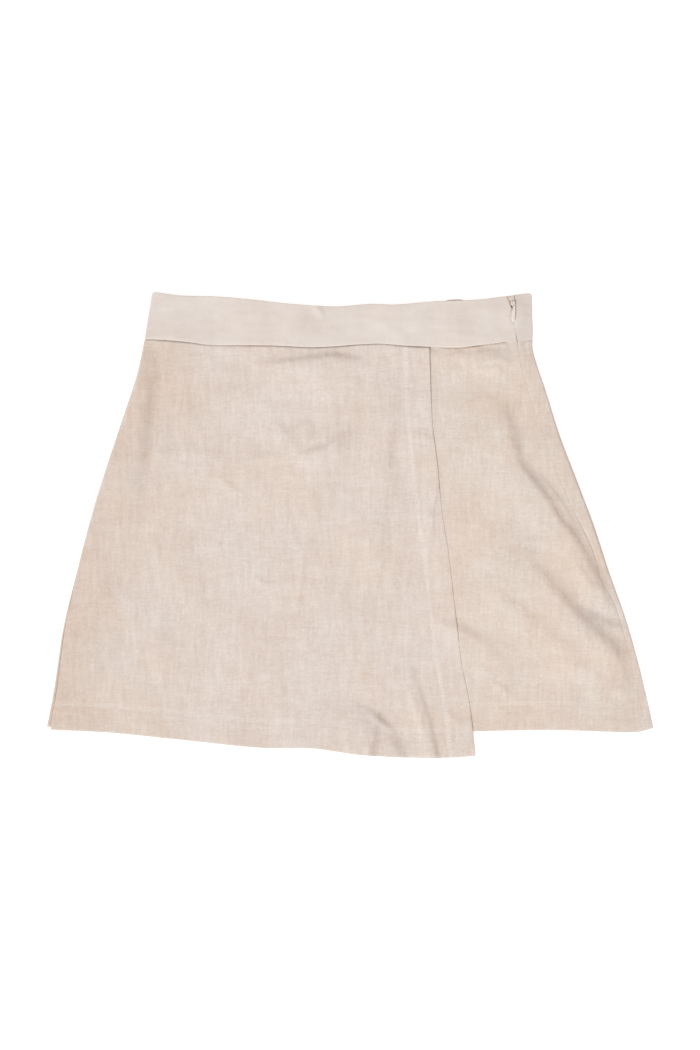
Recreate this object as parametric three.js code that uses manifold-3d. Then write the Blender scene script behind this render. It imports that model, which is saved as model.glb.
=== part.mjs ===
// A wrap-front linen skort, laid flat on its back: shorts whose front is covered by a wrap panel, with a
// two-piece waistband and an invisible zip in the wearer's left side seam, which lies turned to the front.
// Millimetres. +X is the wearer's left, +Y runs up to the waist and +Z stands out of the surface that it
// lies on. The origin is under the middle of the garment.

import * as THREE from "three";
import { mergeVertices } from "three/addons/utils/BufferGeometryUtils.js";
import Module from "manifold-3d";

const wasm = await Module();
wasm.setup();

// ---- driving sizes ----

const CLOTH = 1.0; // wall of a panel
const BAND = 1.5; // wall of the waistband, two layers with interfacing
const SEAM_GAP = 0.3; // between two pieces that are sewn together
const TURNED = 0.4; // what a turned hem or edge adds on the inside
const HEM_DEPTH = 24; // hems are turned this deep
const FACING = 23; // the wrap panel's free edge is turned this wide

// Heights of the middle of each layer over the surface that the skort lies on.
const BACK_Z = CLOTH / 2;
const BAND_BACK_Z = BAND / 2;
const LEG_Z = 2.6;
const WRAP_OVER_LEG = 1.7;
const BAND_Z = 3.1;
const ZIP_SIDE_RISE = 1.0; // the front lies this much higher near the zip side, over the seam allowances

const CROTCH_Y = -75;
const INSEAM_SPREAD = 12; // from the middle to each inseam at the hem
const WRAP_DROOP = 2.9; // the wrap panel sinks by this past the hems of the legs under it

// Seam of the wearer's right side: how far round the fold it lies from the top of the fold, in degrees.
const RIGHT_SEAM_TURN = [
  { y: 170, turn: 115 },
  { y: 0, turn: 105 },
  { y: -60, turn: 60 },
  { y: -120, turn: 28 },
  { y: -190, turn: 16 },
];

// Outline of the whole garment, at its side folds.
const RIGHT_SIDE = [
  { y: 213, x: -181 },
  { y: 190, x: -184.8 },
  { y: 168, x: -188.4 },
  { y: 137, x: -194.9 },
  { y: 95, x: -208.6 },
  { y: 54, x: -222.3 },
  { y: 13, x: -235.1 },
  { y: -42, x: -249.8 },
  { y: -96, x: -262.5 },
  { y: -151, x: -270.8 },
  { y: -187, x: -277.6 },
];
const LEFT_SIDE = [
  { y: 213, x: 165.1 },
  { y: 178, x: 167 },
  { y: 163, x: 166.8 },
  { y: 150, x: 169.8 },
  { y: 123, x: 178.9 },
  { y: 82, x: 191.7 },
  { y: 41, x: 207.3 },
  { y: 0, x: 222.8 },
  { y: -42, x: 236.5 },
  { y: -83, x: 251.1 },
  { y: -124, x: 263 },
  { y: -165, x: 273 },
  { y: -187, x: 277.6 },
];
const WAIST_TOP = [
  { x: -182, y: 212.6 },
  { x: -155, y: 209.8 },
  { x: -122, y: 208.8 },
  { x: -90, y: 206.1 },
  { x: -57, y: 202.4 },
  { x: -13, y: 199.7 },
  { x: 18, y: 202 },
  { x: 42, y: 201.5 },
  { x: 75, y: 204.3 },
  { x: 118, y: 206.1 },
  { x: 140, y: 208.8 },
  { x: 166, y: 211.8 },
];
const WAIST_SEAM = [
  { x: -189, y: 170 },
  { x: -129, y: 164.5 },
  { x: -69, y: 163.8 },
  { x: -32, y: 162.3 },
  { x: 24, y: 165.6 },
  { x: 75, y: 162.7 },
  { x: 99, y: 162.3 },
  { x: 136, y: 166.8 },
  { x: 167, y: 168.3 },
];
// The back's seam, which runs straighter than the front's.
const BACK_SEAM = [
  { x: -189, y: 170 },
  { x: 0, y: 163.5 },
  { x: 167, y: 168.3 },
];
const WRAP_HEM = [
  { x: -277, y: -187 },
  { x: -221, y: -189.7 },
  { x: -166, y: -195.1 },
  { x: -123, y: -199.7 },
  { x: -79, y: -203.8 },
  { x: -35, y: -204.3 },
  { x: 9, y: -209.8 },
  { x: 53, y: -212.5 },
  { x: 97, y: -212.5 },
  { x: 115, y: -210.7 },
];
const WRAP_EDGE = [
  { y: 163, x: 72.5 },
  { y: 92, x: 75.5 },
  { y: 61, x: 79.3 },
  { y: 10, x: 84.4 },
  { y: -21, x: 89.5 },
  { y: -92, x: 97.8 },
  { y: -128, x: 102.3 },
  { y: -159, x: 108.7 },
  { y: -211, x: 114.9 },
];
const LEFT_LEG_HEM = [
  { x: 0, y: -189.5 },
  { x: 114, y: -188.7 },
  { x: 173, y: -187.4 },
  { x: 217, y: -188.3 },
  { x: 261, y: -189.5 },
  { x: 277, y: -186 },
];
const RIGHT_LEG_HEM = [
  { x: -277, y: -184.5 },
  { x: 0, y: -186 },
];
// The zip and the side seam under it, on the front.
const ZIP_SEAM = [
  { y: 210, x: 150.6 },
  { y: 202, x: 149.9 },
  { y: 195, x: 149.3 },
  { y: 184, x: 149.4 },
  { y: 174, x: 151.8 },
  { y: 162, x: 154.1 },
  { y: 145, x: 156.7 },
  { y: 120, x: 164 },
  { y: 54, x: 187.3 },
  { y: 17, x: 202.7 },
  { y: -23, x: 221.8 },
  { y: -50, x: 229.6 },
  { y: -70, x: 240.8 },
  { y: -96, x: 249.5 },
  { y: -134, x: 259 },
  { y: -190, x: 272.4 },
];
// Half of the opening that the slider's neck stands in, on each side of the zip.
const ZIP_OPENING = [
  { y: 213, front: 9, back: 1.2 },
  { y: 205, front: 3.9, back: 1.2 },
  { y: 198, front: 1.8, back: 1.2 },
  { y: 190, front: 0.15, back: 0.15 },
  { y: -190, front: 0.15, back: 0.15 },
];

// The largest soft folds, each along three points of its crest.
const LEG_FOLDS = [
  { start: [128, 108], middle: [156, 46], end: [214, -42], height: 5.0, width: 11 },
  { start: [146, -18], middle: [196, -74], end: [246, -126], height: 4.6, width: 11 },
  { start: [128, -62], middle: [178, -104], end: [228, -152], height: 2.6, width: 13 },
];
const WRAP_FOLDS = [
  { start: [30, -172], middle: [34, -196], end: [37, -226], height: 4.5, width: 10 },
  { start: [84, -120], middle: [88, -165], end: [96, -222], height: 2.4, width: 9 },
];

// Zip
const ZIP_LENGTH = 190;
const TAPE_HALF = 4;
const SLIDER_AT = { x: 149.9, y: 202.4 };
const SLIDER_LEAN = -5.5; // degrees about +Z
const SLIDER = { width: 6.4, length: 7.2, bottom: 1.9, top: 3.5, corner: 1.6 };
const NECK = { width: 1.1, length: 4.4 };
const PIVOT_Z = 6.5;
const ARCH = { inside: 1.0, outside: 1.8 };
const PULL = { length: 17.4, width: 3.8, head: 3, thick: 1.0, hole: 1.8, bar: 0.5, eye: 2.2 };
const SLIDER_BUMP = 1.1; // the band's edges ride up over the slider by this
const BUMP_REACH = 9;

// ---- helpers ----

// A smooth curve through a table's rows: a cubic between each two, whose slopes come from their neighbours.
function through(rows, from, to) {
  const knots = [...rows].sort((a, b) => a[from] - b[from]);
  const slope = knots.map((_, i) => {
    const before = knots[Math.max(i - 1, 0)];
    const after = knots[Math.min(i + 1, knots.length - 1)];
    return (after[to] - before[to]) / (after[from] - before[from]);
  });
  return (value) => {
    let i = 0;
    while (i < knots.length - 2 && value > knots[i + 1][from]) i += 1;
    const span = knots[i + 1][from] - knots[i][from];
    const t = THREE.MathUtils.clamp((value - knots[i][from]) / span, 0, 1);
    const h = 3 * t * t - 2 * t * t * t;
    const leave = t * (1 - t) * (1 - t) * span * slope[i];
    const arrive = t * t * (t - 1) * span * slope[i + 1];
    return knots[i][to] * (1 - h) + knots[i + 1][to] * h + leave + arrive;
  };
}

const { lerp, smoothstep, degToRad } = THREE.MathUtils;

// A soft ridge along a crest of three points: highest half way, falling to nothing at its ends and sides.
function ridge({ start, middle, end, height, width }) {
  const bend = middle.map((value, k) => 2 * value - (start[k] + end[k]) / 2);
  const [first, control, last] = [start, bend, end].map((point) => new THREE.Vector2(...point));
  const crest = new THREE.QuadraticBezierCurve(first, control, last).getPoints(24);
  return (x, y) => {
    const at = new THREE.Vector2(x, y);
    const away = crest.map((point) => point.distanceTo(at));
    const near = away.indexOf(Math.min(...away));
    const along = near / (crest.length - 1);
    return height * Math.exp(-((away[near] / width) ** 2)) * Math.sqrt(4 * along * (1 - along));
  };
}

// ---- curves and surfaces of the garment ----

const rightSide = through(RIGHT_SIDE, "y", "x");
const leftSide = through(LEFT_SIDE, "y", "x");
const waistTop = through(WAIST_TOP, "x", "y");
const waistSeam = through(WAIST_SEAM, "x", "y");
const backSeam = through(BACK_SEAM, "x", "y");
const wrapHem = through(WRAP_HEM, "x", "y");
const wrapEdge = through(WRAP_EDGE, "y", "x");
const leftLegHem = through(LEFT_LEG_HEM, "x", "y");
const rightLegHem = through(RIGHT_LEG_HEM, "x", "y");
const zipSeam = through(ZIP_SEAM, "y", "x");
const openFront = through(ZIP_OPENING, "y", "front");
const openBack = through(ZIP_OPENING, "y", "back");
const rightSeamTurn = through(RIGHT_SEAM_TURN, "y", "turn");

const legRidges = LEG_FOLDS.map(ridge);
const wrapRidges = WRAP_FOLDS.map(ridge);
const sum = (ridges, x, y) => ridges.reduce((total, height) => total + height(x, y), 0);

// The front of the legs: flat under the wrap panel, rising to the zip side, with its folds in the open part.
function legZ(x, y) {
  const past = x - wrapEdge(y);
  const rise = ZIP_SIDE_RISE * smoothstep(past, 5, 45);
  return LEG_Z + rise + smoothstep(past, 8, 40) * sum(legRidges, x, y);
}

// The wrap panel: one layer over the legs, sinking past their hems.
function wrapZ(x, y) {
  const under = x < 0 ? rightLegHem(x) : leftLegHem(x);
  const droop = WRAP_DROOP * smoothstep(under - y, 5, 19);
  return LEG_Z + WRAP_OVER_LEG - droop + sum(wrapRidges, x, y);
}

// The front of the waistband, which rises to the zip side and rides up over the slider.
function bandZ(x, y) {
  const slider = Math.hypot(x - SLIDER_AT.x, y - SLIDER_AT.y) / BUMP_REACH;
  return BAND_Z + 0.7 * smoothstep(x, 110, 140) + SLIDER_BUMP * Math.exp(-(slider ** 4));
}

// The radius of a side fold that joins a lower layer at z low to the upper layer above it.
function foldRadius(edge, inward, low, upper, y) {
  let radius = 1.5;
  for (let turn = 0; turn < 6; turn += 1) {
    radius = (upper(edge(y) + inward * radius, y) - low) / 2;
  }
  return radius;
}

// Columns are functions of y that give a point's x and z. These make runs of them.
const steps = (count, first = 0) =>
  Array.from({ length: count + 1 - first }, (_, k) => (k + first) / count);

function across(from, to, height, fractions) {
  return fractions.map((share) => (y) => {
    const x = lerp(from(y), to(y), share);
    return { x, z: height(x, y) };
  });
}

// side is the fold's outline less half the wall, inward is +1 on the wearer's right and -1 on the left, and
// the turn runs from 0 at the top of the fold to 180 degrees at its bottom.
function roundFold(side, inward, low, upper, fromTurn, toTurn, fractions) {
  return fractions.map((share) => (y) => {
    const radius = foldRadius(side, inward, low, upper, y);
    const turn = degToRad(lerp(fromTurn(y), toTurn(y), share));
    return {
      x: side(y) + inward * radius * (1 - Math.sin(turn)),
      z: low + radius * (1 + Math.cos(turn)),
    };
  });
}

// ---- solids ----

// A closed shell round a grid of middle points. Seen from outside the garment, rows run down and columns
// to the right. inside gives half the wall on the inner side.
function shell(grid, outside, inside) {
  const last = { row: grid.length - 1, column: grid[0].length - 1 };
  const outer = [];
  const inner = [];
  grid.forEach((row, j) => {
    row.forEach((point, i) => {
      const down = grid[Math.min(j + 1, last.row)][i].clone().sub(grid[Math.max(j - 1, 0)][i]);
      const right = row[Math.min(i + 1, last.column)].clone().sub(row[Math.max(i - 1, 0)]);
      const normal = down.cross(right).normalize();
      outer.push(point.clone().addScaledVector(normal, outside));
      inner.push(point.clone().addScaledVector(normal, -inside(j, i)));
    });
  });
  const columns = last.column + 1;
  const count = outer.length;
  const faces = [];
  for (let j = 0; j < last.row; j += 1) {
    for (let i = 0; i < last.column; i += 1) {
      const a = j * columns + i;
      const b = a + 1;
      const d = a + columns;
      const c = d + 1;
      faces.push([a, d, c], [a, c, b]);
      faces.push([count + a, count + c, count + d], [count + a, count + b, count + c]);
    }
  }
  const rim = [];
  for (let j = 0; j < last.row; j += 1) rim.push(j * columns);
  for (let i = 0; i < last.column; i += 1) rim.push(last.row * columns + i);
  for (let j = last.row; j > 0; j -= 1) rim.push(j * columns + last.column);
  for (let i = last.column; i > 0; i -= 1) rim.push(i);
  rim.forEach((from, k) => {
    const to = rim[(k + 1) % rim.length];
    faces.push([to, from, count + from], [to, count + from, count + to]);
  });
  const geometry = new THREE.BufferGeometry();
  geometry.setFromPoints([...outer, ...inner]);
  geometry.setIndex(faces.flat());
  return geometry;
}

// The grid where a panel's columns cross its rows. Each row is a share of the way from top to bottom.
function gridOf(columns, top, bottom, shares) {
  return shares.map((share) =>
    columns.map((column) => {
      let y = 0;
      for (let turn = 0; turn < 10; turn += 1) {
        const { x, z } = column(y);
        y = lerp(top(x, z), bottom(x, z), share);
      }
      const { x, z } = column(y);
      return new THREE.Vector3(x, y, z);
    }),
  );
}

// The waist seam at a point of the front or the back, moved up by a given amount.
function seamAt(up) {
  return (x, z) => up + lerp(backSeam(x), waistSeam(x), smoothstep(z, BACK_Z, LEG_Z));
}

// Rows of a hemmed panel: even ones down to the hem, then close ones where the turned hem begins.
function hemmedRows(count, height) {
  const plain = 1 - (HEM_DEPTH + 1) / height;
  const hem = [HEM_DEPTH, HEM_DEPTH / 2, 0].map((depth) => 1 - depth / height);
  return [...steps(count).map((share) => share * plain), ...hem];
}

const shifted = (curve, by) => (value) => curve(value) + by;
const flatAt = (z) => () => z;
const turned = (degrees) => () => degrees;

// A panel that hangs from the waist seam to a hem.
function panel(columns, hem, rowCount, height, faced = () => false) {
  const shares = hemmedRows(rowCount, height);
  const grid = gridOf(columns, seamAt(-SEAM_GAP / 2), hem, shares);
  const inside = (j, i) => CLOTH / 2 + (j > rowCount || faced(i) ? TURNED : 0);
  return shell(grid, CLOTH / 2, inside);
}

const rightFold = shifted(rightSide, CLOTH / 2);
const leftFold = shifted(leftSide, -CLOTH / 2);
// Where the flat front begins beside the fold of the wearer's right side.
const rightTangent = (y) => rightFold(y) + foldRadius(rightFold, 1, BACK_Z, wrapZ, y);
const GAP_TURN = 10; // degrees of the fold that half of a seam's gap takes

function inseam(side) {
  return (y) => side * (SEAM_GAP / 2 + INSEAM_SPREAD * smoothstep(-y, -CROTCH_Y, 190));
}

const BODY_HEIGHT = 352;
const WRAP_HEIGHT = 366;

const LEG_COLUMNS = 18;
const frontLeftLeg = () =>
  panel(
    across(inseam(1), (y) => zipSeam(y) - SEAM_GAP / 2, legZ, steps(LEG_COLUMNS)),
    leftLegHem,
    20,
    BODY_HEIGHT,
  );

const frontRightLeg = () =>
  panel(
    across(rightTangent, inseam(-1), legZ, steps(12)),
    rightLegHem,
    10,
    BODY_HEIGHT,
  );

const backLeftLeg = () => {
  const tangent = (y) => leftFold(y) - foldRadius(leftFold, -1, BACK_Z, legZ, y);
  return panel(
    [
      ...across((y) => zipSeam(y) + SEAM_GAP / 2, tangent, legZ, steps(2)),
      ...roundFold(leftFold, -1, BACK_Z, legZ, turned(0), turned(180), steps(6, 1)),
      ...across(tangent, inseam(1), flatAt(BACK_Z), steps(8, 1)),
    ],
    leftLegHem,
    20,
    BODY_HEIGHT,
  );
};

const backRightLeg = () => {
  const seam = (y) => rightSeamTurn(y) + GAP_TURN;
  return panel(
    [
      ...across(inseam(-1), rightTangent, flatAt(BACK_Z), steps(7)),
      ...roundFold(rightFold, 1, BACK_Z, wrapZ, turned(180), seam, steps(6, 1)),
    ],
    rightLegHem,
    18,
    BODY_HEIGHT,
  );
};

const WRAP_COLUMNS = 18;
const wrapPanel = () => {
  const seam = (y) => rightSeamTurn(y) - GAP_TURN;
  const facing = (inset) => (y) => wrapEdge(y) - inset;
  const plain = [
    ...roundFold(rightFold, 1, BACK_Z, wrapZ, seam, turned(0), steps(4)),
    ...across(rightTangent, facing(FACING + 1), wrapZ, steps(WRAP_COLUMNS, 1)),
  ];
  const turnedEdge = across(facing(FACING), facing(0), wrapZ, steps(2));
  return panel([...plain, ...turnedEdge], wrapHem, 20, WRAP_HEIGHT, (i) => i >= plain.length);
};

// A waistband piece between the waist seam and the top edge.
function band(columns) {
  const grid = gridOf(columns, waistTop, seamAt(SEAM_GAP / 2), steps(6));
  return shell(grid, BAND / 2, () => BAND / 2);
}

const rightBandFold = shifted(rightSide, BAND / 2);
const leftBandFold = shifted(leftSide, -BAND / 2);

const bandTangent = (y) => rightBandFold(y) + foldRadius(rightBandFold, 1, BAND_BACK_Z, bandZ, y);
const BAND_WRAP = 2; // the front piece reaches this far onto the back on the wearer's right

const waistbandFront = () => {
  const zipEdge = (y) => zipSeam(y) - openFront(y);
  const nearZip = 0.97; // the last columns stand close to the zip, where the band rides up
  return band([
    ...across(shifted(bandTangent, BAND_WRAP), bandTangent, flatAt(BAND_BACK_Z), steps(1)),
    ...roundFold(rightBandFold, 1, BAND_BACK_Z, bandZ, turned(180), turned(0), steps(6, 1)),
    ...across(bandTangent, zipEdge, bandZ, [...steps(22, 1).map((share) => share * nearZip), 0.985, 1]),
  ]);
};

const waistbandBack = () => {
  const leftTangent = (y) => leftBandFold(y) - foldRadius(leftBandFold, -1, BAND_BACK_Z, bandZ, y);
  const rightEdge = shifted(bandTangent, BAND_WRAP + SEAM_GAP);
  return band([
    ...across((y) => zipSeam(y) + openBack(y), leftTangent, bandZ, steps(3)),
    ...roundFold(leftBandFold, -1, BAND_BACK_Z, bandZ, turned(0), turned(180), steps(6, 1)),
    ...across(leftTangent, rightEdge, flatAt(BAND_BACK_Z), steps(20, 1)),
  ]);
};

// The zip's tape, under the two edges of the seam, from the slider down.
const zipTape = () => {
  const top = SLIDER_AT.y - SLIDER.length / 2 - 2 * SEAM_GAP;
  const under = (x, y) => {
    const overBand = bandZ(x, y) - BAND / 2;
    const overLeg = LEG_Z + ZIP_SIDE_RISE - CLOTH / 2;
    const above = lerp(overLeg, overBand, smoothstep(y, 155, 175));
    return Math.min(above, overBand) - SEAM_GAP - CLOTH / 2;
  };
  const columns = across(shifted(zipSeam, -TAPE_HALF), shifted(zipSeam, TAPE_HALF), under, steps(2));
  return shell(gridOf(columns, () => top, () => top - ZIP_LENGTH, steps(18)), CLOTH / 2, () => CLOTH / 2);
};

// ---- the zip's hard pieces, in their own frame: Y up the zip, origin under the middle of the slider ----

function solidOf(geometry) {
  const loose = geometry.index ? geometry.toNonIndexed() : geometry;
  const bare = new THREE.BufferGeometry().setAttribute("position", loose.getAttribute("position"));
  const merged = mergeVertices(bare, 1e-4);
  return new wasm.Manifold(
    new wasm.Mesh({
      numProp: 3,
      vertProperties: merged.attributes.position.array,
      triVerts: new Uint32Array(merged.index.array),
    }),
  );
}

function geometryOf(solid) {
  const mesh = solid.getMesh();
  const geometry = new THREE.BufferGeometry();
  geometry.setAttribute("position", new THREE.BufferAttribute(mesh.vertProperties, 3));
  geometry.setIndex(new THREE.BufferAttribute(mesh.triVerts, 1));
  return geometry;
}

function extruded(shape, depth, curveSegments) {
  return new THREE.ExtrudeGeometry(shape, { depth, bevelEnabled: false, curveSegments });
}

function roundedPlate(width, length, corner) {
  const x = width / 2;
  const y = length / 2;
  const shape = new THREE.Shape();
  shape.moveTo(x, -y + corner);
  shape.absarc(x - corner, y - corner, corner, 0, Math.PI / 2);
  shape.absarc(-x + corner, y - corner, corner, Math.PI / 2, Math.PI);
  shape.absarc(-x + corner, -y + corner, corner, Math.PI, 1.5 * Math.PI);
  shape.absarc(x - corner, -y + corner, corner, 1.5 * Math.PI, 2 * Math.PI);
  return shape;
}

// The slider: a plate under the band's edges, a neck between them and an arch for the pull to hang in.
function zipSlider() {
  const outline = roundedPlate(SLIDER.width, SLIDER.length, SLIDER.corner);
  const plate = extruded(outline, SLIDER.top - SLIDER.bottom, 5).translate(0, 0, SLIDER.bottom);

  // The neck and the arch, drawn side on: across is along the zip, up is the height over the plate's bottom.
  const foot = SLIDER.bottom + 0.5;
  const side = new THREE.Shape();
  side.moveTo(-NECK.length / 2, foot);
  side.lineTo(NECK.length / 2, foot);
  side.lineTo(ARCH.outside, PIVOT_Z - ARCH.outside);
  side.absarc(0, PIVOT_Z, ARCH.outside, 0, Math.PI);
  side.lineTo(-ARCH.outside, PIVOT_Z - ARCH.outside);
  side.closePath();
  const eye = new THREE.Path();
  eye.absarc(0, PIVOT_Z, ARCH.inside, 0, 2 * Math.PI);
  side.holes.push(eye);
  const arch = extruded(side, NECK.width, 14)
    .translate(0, 0, -NECK.width / 2)
    .rotateX(Math.PI / 2)
    .rotateZ(Math.PI / 2);
  return geometryOf(solidOf(plate).add(solidOf(arch)));
}

// The pull: a drop-shaped tab with a bar at its head, which turns in the arch. Its own origin is the pivot.
function zipPull() {
  const head = PULL.head / 2;
  const wide = PULL.width / 2;
  const tip = PULL.bar - PULL.length;
  const widest = tip + 0.3 * PULL.length;
  const shoulder = -0.27 * PULL.length;
  const waist = -0.4 * PULL.length;
  const chin = tip + 0.1 * PULL.length;
  const drop = new THREE.Shape();
  drop.moveTo(-head, PULL.bar);
  drop.bezierCurveTo(-head, shoulder, -wide, waist, -wide, widest);
  drop.bezierCurveTo(-wide, chin, -wide / 2, tip, 0, tip);
  drop.bezierCurveTo(wide / 2, tip, wide, chin, wide, widest);
  drop.bezierCurveTo(wide, waist, head, shoulder, head, PULL.bar);
  drop.closePath();
  const hole = new THREE.Path();
  hole.moveTo(-PULL.hole / 2, -PULL.bar);
  hole.lineTo(PULL.hole / 2, -PULL.bar);
  hole.lineTo(PULL.hole / 2, -PULL.eye);
  hole.lineTo(-PULL.hole / 2, -PULL.eye);
  hole.closePath();
  drop.holes.push(hole);
  return geometryOf(solidOf(extruded(drop, PULL.thick, 8).translate(0, 0, -PULL.thick / 2)));
}

// ---- the garment ----

const LINEN = { color: 0xe1d2c6, roughness: 0.9, metalness: 0 };
const BAND_LINEN = { color: 0xe3d8d0, roughness: 0.88, metalness: 0 };
const TAPE = { color: 0xe6ddd2, roughness: 0.8, metalness: 0 };
const ENAMEL = { color: 0xeae3da, roughness: 0.35, metalness: 0.2 };

function mesh(name, geometry, finish) {
  const made = new THREE.Mesh(geometry, new THREE.MeshStandardMaterial(finish));
  made.name = name;
  return made;
}

const skort = new THREE.Group();
skort.add(
  mesh("back_left_leg", backLeftLeg(), LINEN),
  mesh("back_right_leg", backRightLeg(), LINEN),
  mesh("front_left_leg", frontLeftLeg(), LINEN),
  mesh("front_right_leg", frontRightLeg(), LINEN),
  mesh("wrap_panel", wrapPanel(), LINEN),
  mesh("waistband_back", waistbandBack(), BAND_LINEN),
  mesh("waistband_front", waistbandFront(), BAND_LINEN),
  mesh("zip_tape", zipTape(), TAPE),
);

const zip = new THREE.Group();
zip.position.set(SLIDER_AT.x, SLIDER_AT.y, 0);
zip.rotation.z = degToRad(SLIDER_LEAN);
const pull = mesh("zip_pull", zipPull(), ENAMEL);
pull.position.z = PIVOT_Z;
zip.add(mesh("zip_slider", zipSlider(), ENAMEL), pull);
skort.add(zip);

export default skort;
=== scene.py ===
# %% [markdown]
# # A linen skort, laid flat
#
# This lesson dresses a plain construction model of a garment in real cloth. The garment is a skort: shorts
# whose front is covered by a wrap panel, cut from one ecru linen and laid flat on its back for display.
# The construction model is the frame. It says where every piece is, and nothing here moves or resizes it.
# Each of its plain shells is replaced by a finer one with folds, turned hems, stitches and a woven look.
#
# Sizes are in millimetres until a mesh is made. +X is the wearer's left, +Y runs up to the waist and +Z
# stands out of the surface that the garment lies on.

import bpy
import numpy as np
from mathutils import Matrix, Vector


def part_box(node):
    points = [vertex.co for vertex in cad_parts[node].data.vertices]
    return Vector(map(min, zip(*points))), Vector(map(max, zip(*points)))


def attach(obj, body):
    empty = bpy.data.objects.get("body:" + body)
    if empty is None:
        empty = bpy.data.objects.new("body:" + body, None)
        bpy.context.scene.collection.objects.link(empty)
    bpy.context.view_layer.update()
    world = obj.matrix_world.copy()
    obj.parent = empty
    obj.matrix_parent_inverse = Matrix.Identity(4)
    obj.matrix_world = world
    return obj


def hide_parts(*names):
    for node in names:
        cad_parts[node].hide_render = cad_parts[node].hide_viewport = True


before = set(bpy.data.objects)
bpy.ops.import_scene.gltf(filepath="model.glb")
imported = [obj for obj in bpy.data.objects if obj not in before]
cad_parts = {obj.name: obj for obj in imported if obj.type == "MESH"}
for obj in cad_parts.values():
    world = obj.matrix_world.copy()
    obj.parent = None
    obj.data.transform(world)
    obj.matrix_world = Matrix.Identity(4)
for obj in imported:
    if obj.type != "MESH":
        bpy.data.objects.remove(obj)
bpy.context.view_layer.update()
MM = 0.001

# %% [markdown]
# ## The lines of the garment
#
# A pattern cutter draws each outline through a few points and lets a flexible curve join them. The same is
# done here: each table holds the few points that its line needs, and one function joins them smoothly. The
# lines could also be Blender curves, but as functions of x or y they can be asked for any place at once.

# %% A smooth curve through a table
def curve(*rows):
    """Through rows of (place, value): a cubic between each two, with its slopes taken from the neighbours."""
    place, value = np.array(sorted(rows), float).T
    before = np.maximum(np.arange(len(place)) - 1, 0)
    after = np.minimum(np.arange(len(place)) + 1, len(place) - 1)
    slope = (value[after] - value[before]) / (place[after] - place[before])

    def read(at):
        i = np.clip(np.searchsorted(place, at) - 1, 0, len(place) - 2)
        span = place[i + 1] - place[i]
        t = np.clip((at - place[i]) / span, 0, 1)
        ease = t * t * (3 - 2 * t)
        bulge = span * t * (1 - t) * ((1 - t) * slope[i] - t * slope[i + 1])
        return value[i] * (1 - ease) + value[i + 1] * ease + bulge

    return read


def smooth(at, low, high):
    """0 up to low, 1 from high on, and an even S between."""
    t = np.clip((at - low) / (high - low), 0, 1)
    return t * t * (3 - 2 * t)


# %% Outlines that run down the garment: x for a given y
right_side = curve(
    (213, -181), (190, -184.8), (168, -188.4), (137, -194.9), (95, -208.6), (54, -222.3),
    (13, -235.1), (-42, -249.8), (-96, -262.5), (-151, -270.8), (-187, -277.6),
)
left_side = curve(
    (213, 165.9), (207, 166.2), (189, 166.7), (178, 167.2), (163, 167), (150, 169.8), (123, 178.9),
    (82, 191.7), (41, 207.3), (0, 222.8), (-42, 236.5), (-83, 251.1), (-124, 263), (-165, 273),
    (-187, 277.6),
)
wrap_edge = curve(
    (163, 72.5), (92, 75.5), (61, 79.3), (10, 84.4), (-21, 89.5), (-92, 97.8), (-128, 102.3),
    (-159, 108.7), (-211, 114.9),
)
zip_seam = curve(
    (210, 150.6), (202, 149.9), (195, 149.3), (184, 149.4), (174, 151.8), (162, 154.1), (145, 156.7),
    (120, 164), (54, 187.3), (17, 202.7), (-23, 221.8), (-50, 229.6), (-70, 240.8), (-96, 249.5),
    (-134, 259), (-190, 272.4),
)
print("side folds at the hem, mm:", right_side(-187), left_side(-187))

# %% Outlines that run across it: y for a given x
waist_top = curve(
    (-182, 209.8), (-180.2, 212.2), (-176, 212.5), (-155, 209.8), (-122, 208.8), (-90, 206.1),
    (-57, 202.4), (-13, 199.7), (18, 202), (42, 201.5), (75, 204.3), (118, 206.1), (140, 208.8),
    (155, 210.9), (161.5, 211.7), (163.7, 211.7), (165.3, 211), (166.2, 209.5), (166.6, 207.5),
)
waist_seam = curve(
    (-189, 170), (-166, 168.6), (-147, 166.8), (-129, 164.5), (-69, 163.8), (-32, 162.3), (24, 165.6),
    (50, 163.8), (75, 162.7), (99, 162.3), (114, 163.8), (136, 166.8), (167, 168.3),
)
back_seam = curve((-189, 170), (0, 163.5), (167, 168.3))
wrap_hem = curve(
    (-277, -187), (-221, -189.7), (-166, -195.1), (-123, -199.7), (-79, -203.8), (-35, -204.3),
    (9, -209.8), (53, -212.5), (97, -212.5), (115, -210.7),
)
left_leg_hem = curve(
    (0, -189.5), (114, -188.7), (173, -187.4), (217, -188.3), (261, -189.5), (277, -186),
)
right_leg_hem = curve((-277, -184.5), (0, -186))
print("waist seam at the middle, mm:", round(float(waist_seam(0)), 1))

# %% [markdown]
# ## The layers
#
# Laid flat, the garment is a pile of layers that are each under a millimetre thick: the back, the fronts of
# the two legs, and the wrap panel over them. A waistband of two layers runs along the top. Side folds are
# real half turns of the cloth, from the front layer round to the back one. So every layer gets a height
# over the table, and every fold gets its radius from the two layers that it joins.

# %% Thicknesses and heights
CLOTH = 0.5  # wall of a panel
BAND = 1.1  # wall of the waistband: two layers and an interfacing
TURNED = 0.3  # what a turned hem or edge adds on its inside
HEM_DEPTH = 24.0
FACING = 23.0  # the wrap panel's free edge is turned this wide
SEAM_GAP = 0.1  # between two panels where they are sewn together
CROTCH_Y = -75.0

# The height over the table of the middle of each layer's wall.
BACK_Z = 0.37
BAND_BACK_Z = 0.62
LEG_Z = 2.2
BAND_Z = 3.7
TOUCHING = CLOTH + TURNED + 0.05  # from the middle of the leg to that of the wrap panel's edge on it

slider_low, slider_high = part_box("zip_slider")
SLIDER_X, SLIDER_Y = [(low + high) / 2 / MM for low, high in zip(slider_low, slider_high)][:2]
print("zip slider at, mm:", round(SLIDER_X, 1), round(SLIDER_Y, 1))

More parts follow.
